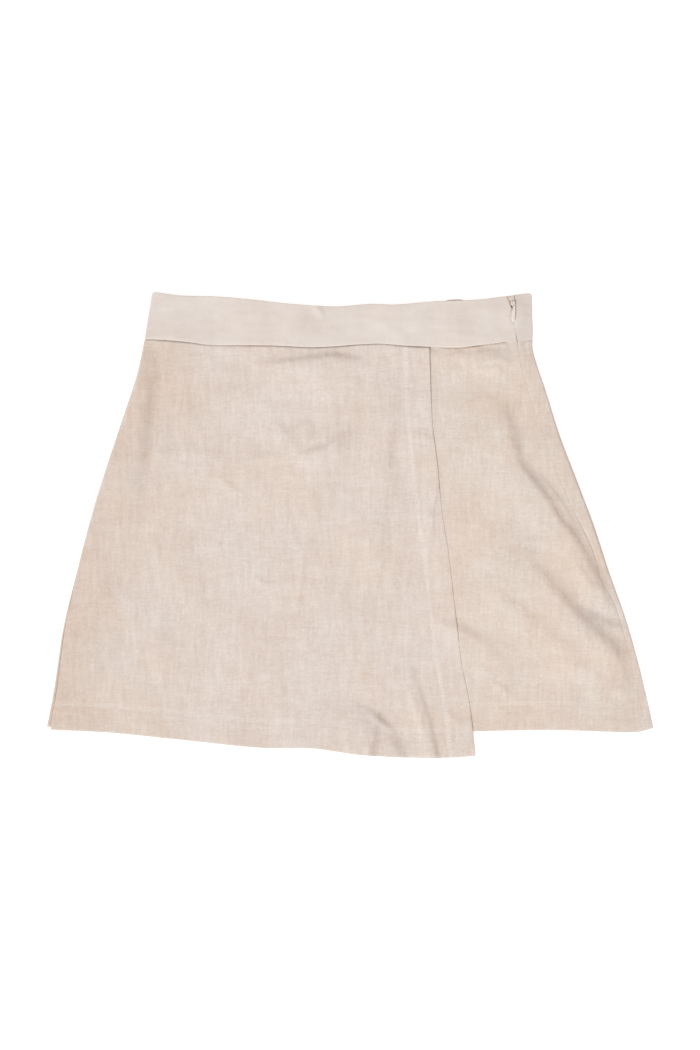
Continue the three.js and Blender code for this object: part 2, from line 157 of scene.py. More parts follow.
# %% Where the wrap panel stands off the leg, and where it is puffed up
stand_off = curve(
    (163, 0.9), (120, 0.5), (90, 0.1), (60, 0.4), (40, 0.3), (10, 0), (-60, 0), (-84, 0.2), (-92, 0.6),
    (-104, 0.1), (-150, 0), (-170, 0.2), (-211, 0.5),
)
puff_line = curve(
    (163, -176), (150, -178.5), (130, -181), (110, -183.5), (85, -186.5), (55, -189.5), (26, -192.5),
    (0, -199), (-20, -208),
)
puff = curve(
    (168, 0), (160, 0.8), (150, 2.6), (130, 4.6), (105, 5.2), (85, 4.4), (55, 3.5), (26, 2.8), (0, 1.2),
    (-20, 0),
)
print("puff beside the right side fold, mm:", float(puff(105)), "high at x =", float(puff_line(110)))

# %% The height of each front layer without its folds
def side_fall(x, y):
    """How far the front layers sink on their way to the side folds."""
    to_left = (0.3 + smooth(y, 135, 165)) * smooth(x, zip_seam(y) + 1, left_side(y) + 2)
    return to_left + 0.7 * smooth(-x, -right_side(y) - 30, -right_side(y))


def leg_base(x, y):
    """The front of the legs without its folds: level under the wrap panel, higher past its edge towards the
    zip and the band, with a low swell along that edge, a slight rise to the hem and a lower left corner."""
    past = x - wrap_edge(y)
    to_zip = (1.4 + 2.3 * smooth(y, -80, -20) * (1 - smooth(y, 60, 120))) * smooth(past, 0, 55)
    to_band = 0.9 * smooth(y, 118, 156) * smooth(past, 0, 25) * (1 - 0.7 * smooth(x - zip_seam(y), -4, 9))
    swell = 1.8 * smooth(past, -30, 14) * (1 - smooth(past, 30, 130))
    swell = swell * smooth(y, -110, -40) * (1 - smooth(y, 50, 110))
    corner = 2 * smooth(x - left_side(y), -34, 2) * smooth(-y, 95, 140)
    return LEG_Z + to_zip + to_band + swell + 0.7 * smooth(-y, 160, 190) - corner - side_fall(x, y)


def wrap_base(x, y):
    """The wrap panel without its folds: one layer over the legs, close to them along its edge, where it
    stands off by a table, puffed up along the right side fold, and a little higher past the legs' hems."""
    from_edge = wrap_edge(y) - x
    leg_hem = np.where(x < 0, right_leg_hem(x), left_leg_hem(x))
    apart = TOUCHING + 0.55 * smooth(from_edge, 4, 40) + stand_off(y) * np.exp(-np.maximum(from_edge, 0) / 12)
    puffed = puff(y) * smooth(puff_line(y) + 8 - x, 0, 16)
    past_leg = (0.4 + 0.9 * smooth(x, 48, 80)) * smooth(leg_hem - y, -3, 22)
    return leg_base(np.minimum(x, wrap_edge(y)), y) + apart + puffed + past_leg


def band_base(x, y):
    """The front of the waistband, which rides up over the zip's slider and pull."""
    near = np.hypot((x - SLIDER_X) / 12, (y - SLIDER_Y + 9) / 14)
    to_left = np.clip((x - zip_seam(y)) / (left_side(y) - zip_seam(y)), 0, 1.2)
    return BAND_Z + np.exp(-near**4) - 2.1 * to_left - 0.2 * smooth(-x, -right_side(y) - 30, -right_side(y))


# %% [markdown]
# ## Folds and creases
#
# Pressed linen that has been handled shows three kinds of unevenness: a few long soft folds that run down
# to the side seam, short sharp creases, and an all-over ripple. The first two are placed one by one. Each is
# a ridge given by the line where the cloth falls away steepest, with its height there, the reach of its steep
# side and the reach of its gentle one. The lines run down or to the right, and the steep side is on the left
# hand of someone walking along the line. Sculpting or a simulation could make folds too, but a table keeps
# each one where it was seen and lets it be changed by a number.

# %% The height of a set of ridges
def ridges(x, y, table):
    """The sum of ridges. For each, with d the distance from its line, signed, and c = 0.7 steep the way back
    from the line to the crest: height * exp(-((d + c) / reach)^2), with a reach for each side of the crest.
    """
    total = np.zeros(np.broadcast(x, y).shape)
    for steep, gentle, points in table:
        rows = np.array(points, float)
        count = np.arange(len(rows))
        fine = np.linspace(0, count[-1], 12 * count[-1] + 1)
        line_x, line_y, line_height = [curve(*zip(count, column))(fine) for column in rows.T]
        reach = 3 * max(steep, gentle)
        near = (x > line_x.min() - reach) & (x < line_x.max() + reach)
        near &= (y > line_y.min() - reach) & (y < line_y.max() + reach)
        off_x = x[near][:, None] - line_x
        off_y = y[near][:, None] - line_y
        away = np.hypot(off_x, off_y)
        closest = away.argmin(axis=1)
        pick = np.arange(len(closest)), closest
        side = np.gradient(line_x)[closest] * off_y[pick] - np.gradient(line_y)[closest] * off_x[pick]
        from_crest = np.sign(side) * away[pick] + 0.7 * steep
        width = np.where(from_crest > 0, steep, gentle)
        total[near] += np.maximum(line_height, 0)[closest] * np.exp(-((from_crest / width) ** 2))
    return total


def ripple(x, y, wave, height, seed, count=20):
    """Even unevenness: plane waves of about one length, in drawn directions and phases, added up. Its usual
    height is the one asked for."""
    draw = np.random.default_rng(seed)
    heading = draw.uniform(0, np.pi, count)
    number = 2 * np.pi / (wave * draw.uniform(0.7, 1.6, count))
    phase = draw.uniform(0, 2 * np.pi, count)
    total = sum(
        np.cos(k * (x * np.cos(h) + y * np.sin(h)) + p) for k, h, p in zip(number, heading, phase)
    )
    return height * total * np.sqrt(2 / count)


# %% The folds of the left leg's front
# Each row holds the reach of the steep side, that of the gentle side, then x, y and height along the line.
LEG_FOLDS = [
    (7, 25, [
        (136, 124, 0), (143, 108, 1), (148, 92, 2.1), (152, 74, 2.7), (155.5, 58.6, 3.5),
        (163.5, 47, 4.7), (172.3, 36.8, 5.3), (181.7, 24.4, 5.2), (192.6, 5.9, 5), (203.6, -6.9, 5),
        (212, -20, 4.5), (220, -34, 4.7), (227, -47, 5.2), (232.5, -59, 5.5), (238, -72, 2.6), (243, -82, 0),
    ]),
    (9, 18, [(124, 110, 0), (136, 107, 0.7), (144.5, 96, 1.3), (150, 80, 1.1), (156, 64, 0)]),
    (3.5, 6, [(206, -32, 0), (214, -43, 1), (220, -52, 0.9), (226, -61, 0)]),
    (3, 5, [(172, 47, 0), (182, 37, 0.8), (193, 22, 1), (203, 6, 0.7), (208, -4, 0)]),
    (10, 30, [
        (148, -3.5, 0), (160, -20, 1.2), (173.4, -38.8, 3.2), (189, -57.6, 5.2), (203, -73, 7),
        (213, -83.5, 8), (223, -91.5, 7.2), (231, -98.5, 5), (239, -107.5, 3), (249, -120.5, 1.6),
        (257, -134, 0),
    ]),
    (9, 22, [(206, -88, 0), (217, -96, 2), (228, -101, 3.4), (239, -107, 3), (249, -113, 1.6),
             (259, -119, 0)]),
    (7, 16, [(236, -104, 0), (246, -118, 1.9), (251, -133, 1.5), (256, -150, 0.8), (261, -166, 0)]),
    (5, 10, [(213, -76, 0), (222, -81, 1.3), (231, -86, 2.1), (239, -89.5, 2), (247, -92, 1.2),
             (256, -95, 0)]),
    (10, 24, [
        (106, -30, 0), (121.3, -45, 0.8), (139.6, -62, 1.9), (168, -83, 2.5), (192.4, -107, 2.6),
        (210, -122, 2.2), (235, -143, 1.6), (250, -155, 0),
    ]),
    (7.5, 18, [(74, -82, 0), (86, -87, 1.8), (97.6, -92, 2.4), (110, -97.5, 2.5), (122.8, -106, 2),
               (135, -116, 1), (145, -125, 0)]),
    (2.2, 4, [(124, -137, 0), (133, -143, 0.4), (143, -150, 0.5), (155, -159, 0)]),
    (3, 6, [(96, 122, 0), (112, 118, 0.4), (128, 117, 0.5), (140, 112, 0)]),
    (4, 8, [(102, 148, 0), (112, 151, 1), (121, 152, 1.6), (130, 154, 2.2), (139, 153, 2), (149, 148, 0)]),
    (2.6, 5, [(88, 156, 0), (100, 158, 0.9), (110, 156.5, 0.6), (121, 158, 1), (131, 159.5, 1.2),
              (144, 158.5, 0)]),
    (2.4, 4, [(114, 144, 0), (124, 143.5, 0.8), (134, 145, 1), (143, 141, 0)]),
]

# %% The folds of the wrap panel
WRAP_FOLDS = [
    (5, 26, [(-94, 147, 0), (-77, 149, 1.5), (-62, 149.5, 3), (-45, 151.5, 3.7), (-28, 153.8, 4.3),
             (-14, 154.8, 4.3), (-3, 153.8, 3.7), (5, 152.6, 2.2), (14, 150, 0)]),
    (3.8, 20, [(-50, 64, 0), (-37, 67.6, 1.9), (-23, 71.8, 3), (-14, 78.7, 2.6), (-5, 86.5, 0.9),
               (3, 94, 0)]),
    (14, 26, [(-108, 66, 0), (-78, 69, 1.5), (-48, 75, 1.9), (-20, 82, 1), (4, 88, 0)]),
    (6, 14, [(-70, 99, 0), (-62, 90, 0.9), (-56, 82, 1.3), (-50, 74, 0.8), (-46, 66, 0)]),
    (4, 14, [(-68, 86, 0), (-58, 86.5, 1), (-50, 90, 1.3), (-42, 93.5, 1.1), (-32, 94, 0)]),
    (4, 10, [(-46, 78, 0), (-37, 82, 0.9), (-28, 87, 1.1), (-20, 93, 0.8), (-13, 98, 0)]),
    (9, 30, [(-182, 72, 0), (-168, 69, 1), (-152, 68, 1.3), (-135, 68, 1), (-118, 68, 0.6), (-104, 70, 0)]),
    (3.4, 5, [(-124, 52, 0), (-117, 44, 0.6), (-109, 37, 0.8), (-101, 31, 0.6), (-93, 28, 0)]),
    (4, 8, [(-112, 62, 0), (-98, 60, 0.6), (-84, 64, 0.8), (-68, 66, 0.5), (-56, 62, 0)]),
    (2, 3.5, [(-86, -45, 0), (-82.8, -49, 0.5), (-76, -52.6, 0.8), (-67.4, -52.6, 0.6), (-60, -52, 0)]),
    (6, 30, [(31, -172, 0), (28, -179, 2.6), (24, -190, 5.2), (21.5, -202, 6.1), (19.8, -216, 6.1)]),
    (8, 24, [(27, -172, 0), (33, -182, 1.6), (38, -191, 2.9), (43, -201, 3.3), (49, -211, 3.2),
             (51, -216, 3.2)]),
    (2.4, 4, [(17, -170, 0), (23, -174, 1.1), (30, -179, 1.5), (37, -184, 1), (43, -190, 0)]),
    (3.4, 12, [(54, -112, 0), (57, -131, 0.8), (62.5, -148, 1.2), (68, -164, 1.8), (72, -177, 2.1),
              (75.8, -193, 2.4), (79.3, -209, 2.8), (81, -218, 2.8)]),
    (3, 4, [(54, -143, 0), (59, -157, 0.8), (64, -172, 1), (68, -186, 0.8), (71, -198, 0)]),
    (3, 6, [(82, -164, 0), (88, -168, 0.5), (97, -175, 0.5), (102, -180, 0)]),
    (9, 22, [(44, 140, 0), (42, 100, 1.5), (37, 60, 2.4), (33, 10, 2.2), (27, -32, 1.5), (18, -66, 0)]),
    (5, 9, [(16, 24, 0), (10, -4, 0.7), (3, -36, 0.8), (-6, -70, 0.6), (-14, -98, 0)]),
    (5, 8, [(56, 30, 0), (52, -2, 0.6), (46, -36, 0.7), (42, -70, 0)]),
    (2, 5, [(81, 44, 0), (79.6, 29, 1), (76.9, 12.5, 1.5), (75.8, -8, 1.2), (73.6, -41, 0)]),
    (2.4, 5, [(54, 88, 0), (61, 84.5, 0.35), (70, 81, 0.4), (80, 78, 0)]),
    (1.6, 3, [(22, 8, 0), (16, -20, 0.35), (8, -52, 0.4), (-2, -92, 0)]),
    (1.6, 3, [(34, -20, 0), (28, -46, 0.35), (23, -70, 0.35), (16, -108, 0)]),
    (1.8, 3, [(-40, -18, 0), (-42, -44, 0.35), (-47, -70, 0.3), (-50, -96, 0)]),
]
print("folds and creases placed:", len(LEG_FOLDS), "on the leg,", len(WRAP_FOLDS), "on the wrap panel")


# %% Relief: what the folds and the ripple add to each layer
def leg_relief(x, y):
    """Full past the wrap panel's edge, and nothing 30 mm under it."""
    own = ridges(x, y, LEG_FOLDS) + ripple(x, y, 46, 0.22, 11) + ripple(x, y, 17, 0.07, 12)
    return own * smooth(x - wrap_edge(y), -30, -4)


def wrap_relief(x, y):
    """Its own folds and ripple, and near its edge those of the leg that it lies on."""
    free = smooth(wrap_edge(y) - x, 0, 60)
    own = ridges(x, y, WRAP_FOLDS) + free * (ripple(x, y, 60, 0.3, 21) + ripple(x, y, 18, 0.08, 22))
    return own + leg_relief(x, y)


def band_relief(x, y):
    """A stiff band: long shallow waves and a few small creases, one of them from its top edge."""
    creases = [
        (2.4, 5, [(-31, 204, 1), (-27.6, 199.7, 1.3), (-25, 194, 1.1), (-22.2, 187.8, 0)]),
        (2.4, 5, [(112, 168, 0), (118, 171.5, 0.4), (124, 173, 0.4), (132, 172, 0)]),
        (3, 8, [(-2, 188, 0), (12, 190, 0.3), (28, 189, 0.3), (40, 191, 0)]),
    ]
    return ridges(x, y, creases) + ripple(x, y, 55, 0.2, 31) + ripple(x, y, 14, 0.05, 32)


def back_relief(x, y):
    """The back lies on the table, so its creases only rise away from it."""
    return np.maximum(0.2 + ripple(x, y, 50, 0.12, 41) + ripple(x, y, 17, 0.04, 42), 0)


# %% [markdown]
# ## From lines to cloth
#
# A panel is a grid. One parameter runs down it from the waist seam to the hem, the other runs along the
# cloth from seam to seam, over the side fold if it has one. The place of a grid point depends on the curves,
# and the curves on the place, so the grid is found by going round a few times until it stays put. Then the
# grid of middle points becomes a thin closed shell, with its edges rounded as a turned edge of cloth is.
# A flat sheet with Solidify would be shorter to write, but it could not be thicker at the hems.

# %% A side fold of the garment
HALF_HEIGHT = 225  # a fold keeps its radius for every mm of y, from minus this to plus this
FIRST_RADIUS = 1.8  # the guess from which its radii are worked out


class Fold:
    """A half turn of cloth from an upper layer round to a lower one. inward is +1 where the garment lies
    towards +X from it. Distances run along the cloth: 0 where the turn begins on top, less before it."""

    def __init__(self, side, inward, low, upper):
        self.side, self.inward, self.low, self.upper = side, inward, low, upper
        self.heights = np.linspace(-HALF_HEIGHT, HALF_HEIGHT, 2 * HALF_HEIGHT + 1)
        self.radii = np.full(len(self.heights), FIRST_RADIUS)
        for _ in range(8):
            start = side(self.heights) + inward * self.radii
            self.radii = (upper(start, self.heights) - low) / 2

    def radius(self, y):
        """Half the height between the two layers there."""
        return np.interp(y, self.heights, self.radii)

    def end(self, y):
        """The distance along the cloth to where the turn ends, on the lower layer."""
        return np.pi * self.radius(y)

    def turned(self, degrees, y):
        """The distance along the cloth to a given angle of the turn."""
        return np.radians(degrees) * self.radius(y)

    def front(self, x, y):
        """The distance along the cloth to a given x on the upper layer."""
        return self.radius(y) - self.inward * (x - self.side(y))

    def back(self, x, y):
        """The distance along the cloth to a given x on the lower layer."""
        return self.inward * (x - self.side(y)) + (np.pi - 1) * self.radius(y)

    def place(self, along, y):
        """x = side + inward * r * (1 - sin turn) and z = low + r * (1 + cos turn) round the turn, and level
        cloth before and after it. Also the turn, and x with the fold opened out flat."""
        r = self.radius(y)
        turn = np.clip(along / r, 0, np.pi)
        level = np.maximum(-along, 0) + np.maximum(along - np.pi * r, 0)
        x = self.side(y) + self.inward * (r * (1 - np.sin(turn)) + level)
        z = np.where(along < 0, self.upper(x, y), self.low + r * (1 + np.cos(turn)))
        return x, z, turn, self.side(y) + self.inward * (r - along)


def flat_cloth(height):
    """Cloth with no fold: the distance along it is x itself."""
    return lambda x, y: (x, height(x, y), np.zeros_like(x), x)


# %% The grid of a panel
def spread(*counts):
    """Stations from knot to knot: counts says how many steps lie between each two."""
    runs = [knot + np.arange(count) / count for knot, count in enumerate(counts)]
    return np.concatenate([*runs, [len(counts)]])


def lay(place, knots, stations, shares, top, bottom):
    """A grid whose columns run between knots, which are distances along the cloth for a given y, and whose
    rows share out the way from top to bottom, which are y for a given x and z."""
    y = np.zeros((len(shares), len(stations)))
    for _ in range(10):
        along = sum(
            knot(y) * np.maximum(1 - np.abs(stations - i), 0) for i, knot in enumerate(knots)
        )
        x, z, turn, opened = place(along, y)
        y = top(x, z) + shares[:, None] * (bottom(x, z) - top(x, z))
    return np.stack([x, y, z], axis=2), turn, opened


def normals(points):
    """Down the grid crossed with across it, which points out of the cloth's right side."""
    down, right = np.gradient(points, axis=(0, 1))
    out = np.cross(down, right)
    return out / np.linalg.norm(out, axis=2, keepdims=True)


def rows_down(height, step, fine=3.0, steps=8):
    """Shares of the way down a piece: close together at the seam, then one every step."""
    first = np.linspace(0, fine, steps)[:-1]
    rest = np.linspace(fine, height, int(round((height - fine) / step)))
    return np.concatenate([first, rest]) / height


# %% A mesh from arrays
def make(name, points, *faces):
    """Points in millimetres, and arrays of faces that have three or four corners each."""
    mesh = bpy.data.meshes.new(name)
    mesh.vertices.add(len(points))
    mesh.vertices.foreach_set("co", (points * MM).astype(np.float32).ravel())
    corners = np.concatenate([face.ravel() for face in faces]).astype(np.int32)
    sizes = np.concatenate([np.full(len(face), face.shape[1]) for face in faces])
    mesh.loops.add(len(corners))
    mesh.loops.foreach_set("vertex_index", corners)
    mesh.polygons.add(len(sizes))
    mesh.polygons.foreach_set("loop_start", (np.cumsum(sizes) - sizes).astype(np.int32))
    mesh.update(calc_edges=True)
    mesh.shade_smooth()
    piece = bpy.data.objects.new(name, mesh)
    bpy.context.scene.collection.objects.link(piece)
    return piece


# %% A shell round a grid
RIM_STEPS = 4
FAR = 300.0  # the distance, in mm, from a row of stitches that a piece doesn't have


def raised(points, lift):
    """A grid of points moved out along its normals."""
    return points + normals(points) * lift[..., None]


def shell(name, grid, outside, inside):
    """A closed shell round a grid of middle points: the grid moved out along its normals and in again, and
    round the rim a half circle from one to the other, in steps of the turn. The grid also holds x with the
    folds opened out, for the weave, and each point's distances from the hem, free edge and right side."""
    points = grid["points"]
    count, width = points.shape[:2]
    out = normals(points)
    outer = (points + out * outside).reshape(-1, 3)
    inner = (points - out * inside[..., None]).reshape(-1, 3)
    index = np.arange(count * width).reshape(count, width)

    # The rim: the path round the edge, and half circles from its outer skin to its inner one.
    ring = np.concatenate([index[:-1, 0], index[-1, :-1], index[:0:-1, -1], index[0, :0:-1]])
    along = np.roll(points.reshape(-1, 3)[ring], -1, 0) - np.roll(points.reshape(-1, 3)[ring], 1, 0)
    away = np.cross(along, out.reshape(-1, 3)[ring])
    away /= np.linalg.norm(away, axis=1, keepdims=True)
    centre = (outer[ring] + inner[ring]) / 2
    half = (outer[ring] - inner[ring]) / 2
    reach = np.linalg.norm(half, axis=1, keepdims=True)
    turns = np.pi * np.arange(1, RIM_STEPS) / RIM_STEPS
    rims = [centre + half * np.cos(turn) + away * reach * np.sin(turn) for turn in turns]

    # The faces of both skins, then those between the loops of the rim.
    a, b, c, d = index[:-1, :-1], index[:-1, 1:], index[1:, 1:], index[1:, :-1]
    front = np.stack([a, d, c, b], axis=-1).reshape(-1, 4)
    behind = np.stack([a, b, c, d], axis=-1).reshape(-1, 4) + count * width
    first = 2 * count * width
    loops = [ring, *[first + k * len(ring) + np.arange(len(ring)) for k in range(len(rims))]]
    loops.append(ring + count * width)
    sides = [
        np.stack([np.roll(upper, -1), upper, lower, np.roll(lower, -1)], axis=1)
        for upper, lower in zip(loops, loops[1:])
    ]
    piece = make(name, np.concatenate([outer, inner, *rims]), front, behind, *sides)

    # What the materials read. A point of the rim has the values of the grid's point beside it.
    same = np.concatenate([np.arange(count * width)] * 2 + [ring] * len(rims))
    flat = np.stack([grid["opened"], points[..., 1]], axis=2).reshape(-1, 2)[same] * MM
    corner = np.zeros(len(piece.data.loops), np.int32)
    piece.data.loops.foreach_get("vertex_index", corner)
    layer = piece.data.uv_layers.new(name="cut")
    layer.data.foreach_set("uv", flat[corner].astype(np.float32).ravel())
    edges = piece.data.attributes.new("rows", "FLOAT_VECTOR", "POINT")
    edges.data.foreach_set("vector", (grid["rows"].reshape(-1, 3)[same] * MM).astype(np.float32).ravel())
    print(f"{name}: a shell round {count} x {width} points")
    return piece


# %% [markdown]
# ## Linen
#
# Linen is spun from long flax fibres of uneven thickness, so its yarns swell into slubs. In plain weave that
# shows as short pale and dark streaks along both thread directions, and the cloth takes the light softly,
# with no gloss. Undyed, it is a warm ecru. A picture of cloth could be wrapped on, but streaks of noise that
# follow the threads give the same look at any size and on any piece. The threads themselves are about 0.5 mm
# apart, too fine to show from here, so the weave is drawn at 0.9 mm.

# %% Colour and node helpers
def rgb(code):
    """An sRGB hex value as the linear colour that shaders work in."""
    parts = np.array([int(code[i : i + 2], 16) for i in (1, 3, 5)]) / 255
    linear = np.where(parts <= 0.04045, parts / 12.92, ((parts + 0.055) / 1.055) ** 2.4)
    return (*linear.tolist(), 1.0)


def add(tree, kind, inputs=(), **settings):
    """One shader node with its settings. An input is a value, another node's output to be linked, or that
    node itself, for the first output that it has in use."""
    made = tree.nodes.new("ShaderNode" + kind)
    for key, value in settings.items():
        setattr(made, key, value)
    for key, value in dict(inputs).items():
        if isinstance(value, bpy.types.Node):
            value = next(output for output in value.outputs if output.enabled)
        if isinstance(value, bpy.types.NodeSocket):
            tree.links.new(value, made.inputs[key])
        else:
            made.inputs[key].default_value = value
    return made


def new_material(name):
    """A material and its node tree, which is still empty."""
    made = bpy.data.materials.new(name)
    made.use_nodes = True
    made.node_tree.nodes.clear()
    return made, made.node_tree


# %% The streaks of the yarn
# How wide and how long each kind of streak is, in mm across and up the cloth, and its share in the look.
PANEL_STREAKS = [
    (1.2, 8, 0.15), (3, 20, 0.31), (6, 40, 0.17),
    (8, 1.2, 0.15), (12, 1.8, 0.24), (40, 6, 0.17),
    (1.6, 1.6, 0.26), (2.6, 2.6, 0.28), (5, 5, 0.13), (45, 45, 0.12),
]
BAND_STREAKS = [
    (1.2, 8, 0.12), (3, 20, 0.06),
    (8, 1.2, 0.12), (40, 6, 0.22),
    (1.6, 1.6, 0.16), (5, 5, 0.18), (18, 18, 0.25), (45, 45, 0.5),
]


def streaked(tree, cut, streaks):
    """A number near a half: for each kind of streak, noise drawn out to its size, times its share."""
    total = 0.5
    for turn, (across, along, share) in enumerate(streaks):
        scaled = add(tree, "Mapping", {
            "Vector": cut, "Location": (7.3 * turn, 3.1 * turn, 1.7 * turn),
            "Scale": (1 / (across * MM), 1 / (along * MM), 1),
        })
        noise = add(tree, "TexNoise", {"Vector": scaled, "Scale": 1.0, "Detail": 1.5, "Roughness": 0.5})
        centred = add(tree, "Math", {0: noise, 1: 0.5}, operation="SUBTRACT")
        total = add(tree, "Math", {0: centred, 1: share, 2: total}, operation="MULTIPLY_ADD")
    return total


# %% Painted highlight beside a row of stitches
STITCH = 3.2  # mm from one stitch to the next
ROW_REACH = 3.6  # mm on each side of a row of stitches over which its painted highlight fades


def painted_row_highlight(tree, distance, depth, along, share, before):
    """Painted highlight: paler cloth where a distance is near a row's depth, standing in for light on the
    puckers, which repeat as far apart as the stitches. Its share is added to what came before."""
    off = add(tree, "Math", {0: distance, 1: depth * MM}, operation="SUBTRACT")
    off = add(tree, "Math", {0: off}, operation="ABSOLUTE")
    near = add(tree, "MapRange", {
        "Value": off, "From Min": 0.0, "From Max": ROW_REACH * MM, "To Min": 1.0, "To Max": 0.0,
    }, interpolation_type="SMOOTHSTEP")
    wave = add(tree, "Math", {0: along, 1: 2 * np.pi / (STITCH * MM)}, operation="MULTIPLY")
    wave = add(tree, "Math", {0: wave}, operation="SINE")
    wave = add(tree, "Math", {0: wave, 1: 0.2 * share, 2: share}, operation="MULTIPLY_ADD")
    return add(tree, "Math", {0: near, 1: wave, 2: before}, operation="MULTIPLY_ADD")


# %% Woven cloth
THREADS = 0.9  # mm between drawn threads
CLOUD = 70.0  # mm across a patch of warmer or paler cloth
SIDE_SHADE_REACH = (4, 88)  # mm from the right side fold over which the painted shade along that fold dies out
# The colour multiplied in as painted shade along the right side fold.
SIDE_SHADE_TINT = "#F9F5F1"


def woven(name, dark, light, warm, streaks, roughness, relief):
    """Plain-weave linen. Its streaks mix a dark and a light shade, and a slow cloud tints the result. Beside
    rows of stitching a painted highlight stands in for light on the puckers that they pull up, and along the
    right side fold painted shade makes the cloth a little warmer and darker. relief is the height of the
    weave in mm."""
    made, tree = new_material(name)
    cut = add(tree, "UVMap", uv_map="cut")
    total = streaked(tree, cut, streaks)
    cloud = add(tree, "TexNoise", {"Vector": cut, "Scale": 1 / (CLOUD * MM), "Detail": 2.0})
    rows = add(tree, "Attribute", attribute_name="rows").outputs["Vector"]
    from_hem, from_edge, from_side = add(tree, "SeparateXYZ", {"Vector": rows}).outputs
    across, up = add(tree, "SeparateXYZ", {"Vector": cut}).outputs[:2]
    # Painted highlight beside the hem rows and beside the free edge's row, where puckers catch the light.
    row_highlight = painted_row_highlight(tree, from_hem, HEM_DEPTH, across, 0.3, 0.0)
    row_highlight = painted_row_highlight(tree, from_edge, FACING, up, 0.6, row_highlight)

    uneven = add(tree, "MapRange", {
        "Value": cloud, "From Min": 0.3, "From Max": 0.7, "To Min": 0.06, "To Max": 0.42,
    })
    shade = add(tree, "Math", {0: row_highlight, 1: uneven, 2: total}, operation="MULTIPLY_ADD")
    cloth = add(tree, "Mix", {"Factor": shade, "A": rgb(dark), "B": rgb(light)}, data_type="RGBA")
    in_cloud = add(tree, "MapRange", {
        "Value": cloud, "From Min": 0.35, "From Max": 0.65, "To Min": 0.0, "To Max": 1.0,
    })
    # Painted shade: the cloth turns warmer and darker towards the right side fold, where it rounds away.
    side_shade = add(tree, "MapRange", {
        "Value": from_side, "From Min": SIDE_SHADE_REACH[0] * MM, "From Max": SIDE_SHADE_REACH[1] * MM, "To Min": 1.0,
        "To Max": 0.0,
    }, interpolation_type="SMOOTHSTEP")
    for share, tint in ((in_cloud, warm), (side_shade, SIDE_SHADE_TINT)):
        cloth = add(tree, "Mix", {
            "Factor": share, "A": cloth, "B": rgb(tint),
        }, data_type="RGBA", blend_type="MULTIPLY")

    turns = add(tree, "Mapping", {"Vector": cut, "Scale": (np.pi / (THREADS * MM),) * 3})
    turn_across, turn_up = add(tree, "SeparateXYZ", {"Vector": turns}).outputs[:2]
    over = add(tree, "Math", {0: turn_across}, operation="SINE")
    under = add(tree, "Math", {0: turn_up}, operation="SINE")
    weave = add(tree, "Math", {0: over, 1: under}, operation="MULTIPLY")
    height = add(tree, "Math", {0: weave, 1: 0.1, 2: shade}, operation="MULTIPLY_ADD")
    bump = add(tree, "Bump", {"Height": height, "Strength": 0.5, "Distance": relief * MM})
    shader = add(tree, "BsdfPrincipled", {
        "Base Color": cloth, "Roughness": roughness, "IOR": 1.5, "Specular IOR Level": 0.25,
        "Sheen Weight": 0.12, "Sheen Roughness": 0.6, "Normal": bump,
    })
    add(tree, "OutputMaterial", {"Surface": shader})
    print(f"{name}: {len(tree.nodes)} nodes")
    return made


ecru_linen = woven("ecru_linen_plain_weave", "#CBB4A3", "#F5F0EC", "#FFFBF7", PANEL_STREAKS, 0.9, 0.3)
leg_linen = woven("ecru_linen_under_layer", "#C9B2A0", "#F4EEE8", "#FFFAF5", PANEL_STREAKS, 0.9, 0.3)
band_linen = woven("ecru_linen_interfaced", "#D0C0B4", "#F3EEEA", "#FFFCF9", BAND_STREAKS, 0.86, 0.12)

# %% [markdown]
# ## Dressing a piece
#
# A finished piece takes its material, rides on a body of the frame and hides the plain shells that it
# stands for. That could be written out for every piece, but one function can't forget a step.

# %% Riding and the frame's own shells
def dress(piece, material, body, slot, *nodes):
    """The material, the body, the slot, which is not used, and the nodes of the frame that the piece stands
    for.
    """
    piece.data.materials.append(material)
    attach(piece, body)
    if nodes:
        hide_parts(*nodes)
    return piece


# %% [markdown]
# ## The panels
#
# Each panel is sewn to its neighbours with the allowances turned inside, so its edges dip into a narrow
# groove. Below the waistband the cloth is eased in, which leaves short gathers. The rows that hold the hems
# sink a little and pull the cloth beside them. All of that is relief on the panel's own grid.

# %% Grooves, gathers and rows
def groove(distance, depth, width):
    """A dip along a line: depth at the line, gone at about twice the width."""
    return -depth * np.exp(-((distance / width) ** 2))


def gathers(x, below, seed):
    """Short upright gathers under the waistband, each a few millimetres wide, that die out downwards."""
    lift = ripple(x, 0 * x, 9, 0.16, seed, 14) + ripple(x, below * 0.4, 5, 0.07, seed + 1, 14)
    return lift * np.exp(-np.maximum(below, 0) / 9) * smooth(below, 0, 3)


def sewn_row(distance, along, seed):
    """A row of stitches: a shallow groove, with the cloth puffed up unevenly on both sides of it."""
    beside = 0.1 * np.exp(-(((np.abs(distance) - 3) / 2.2) ** 2))
    return beside * (1 + ripple(along, 0 * along, 11, 0.6, seed)) + groove(distance, 0.16, 1.3)


def seam_line(x, z):
    """The waist seam: the back's own line below, the front's above."""
    upper = smooth(z, BACK_Z + 0.4, LEG_Z - 0.2)
    return back_seam(x) * (1 - upper) + waist_seam(x) * upper


# %% Along the waist seam: how deep its groove is, and how far the eased cloth dives under the band
seam_depth = curve(
    (-190, 0.8), (-100, 0.9), (0, 1.1), (40, 1.1), (72, 1.2), (100, 1.3), (125, 1.2), (138, 0.9),
    (146, 0.1), (167, 0.1),
)
eased = curve((60, 0), (85, 0.9), (105, 1.4), (130, 1.4), (143, 0.9), (151, 0))


def seam_gap(x):
    """The waist seam is pressed shut past the zip."""
    return SEAM_GAP - 0.35 * smooth(x, 138, 148)


print("deepest seam groove, mm:", float(seam_depth(100)), "at x = 100")

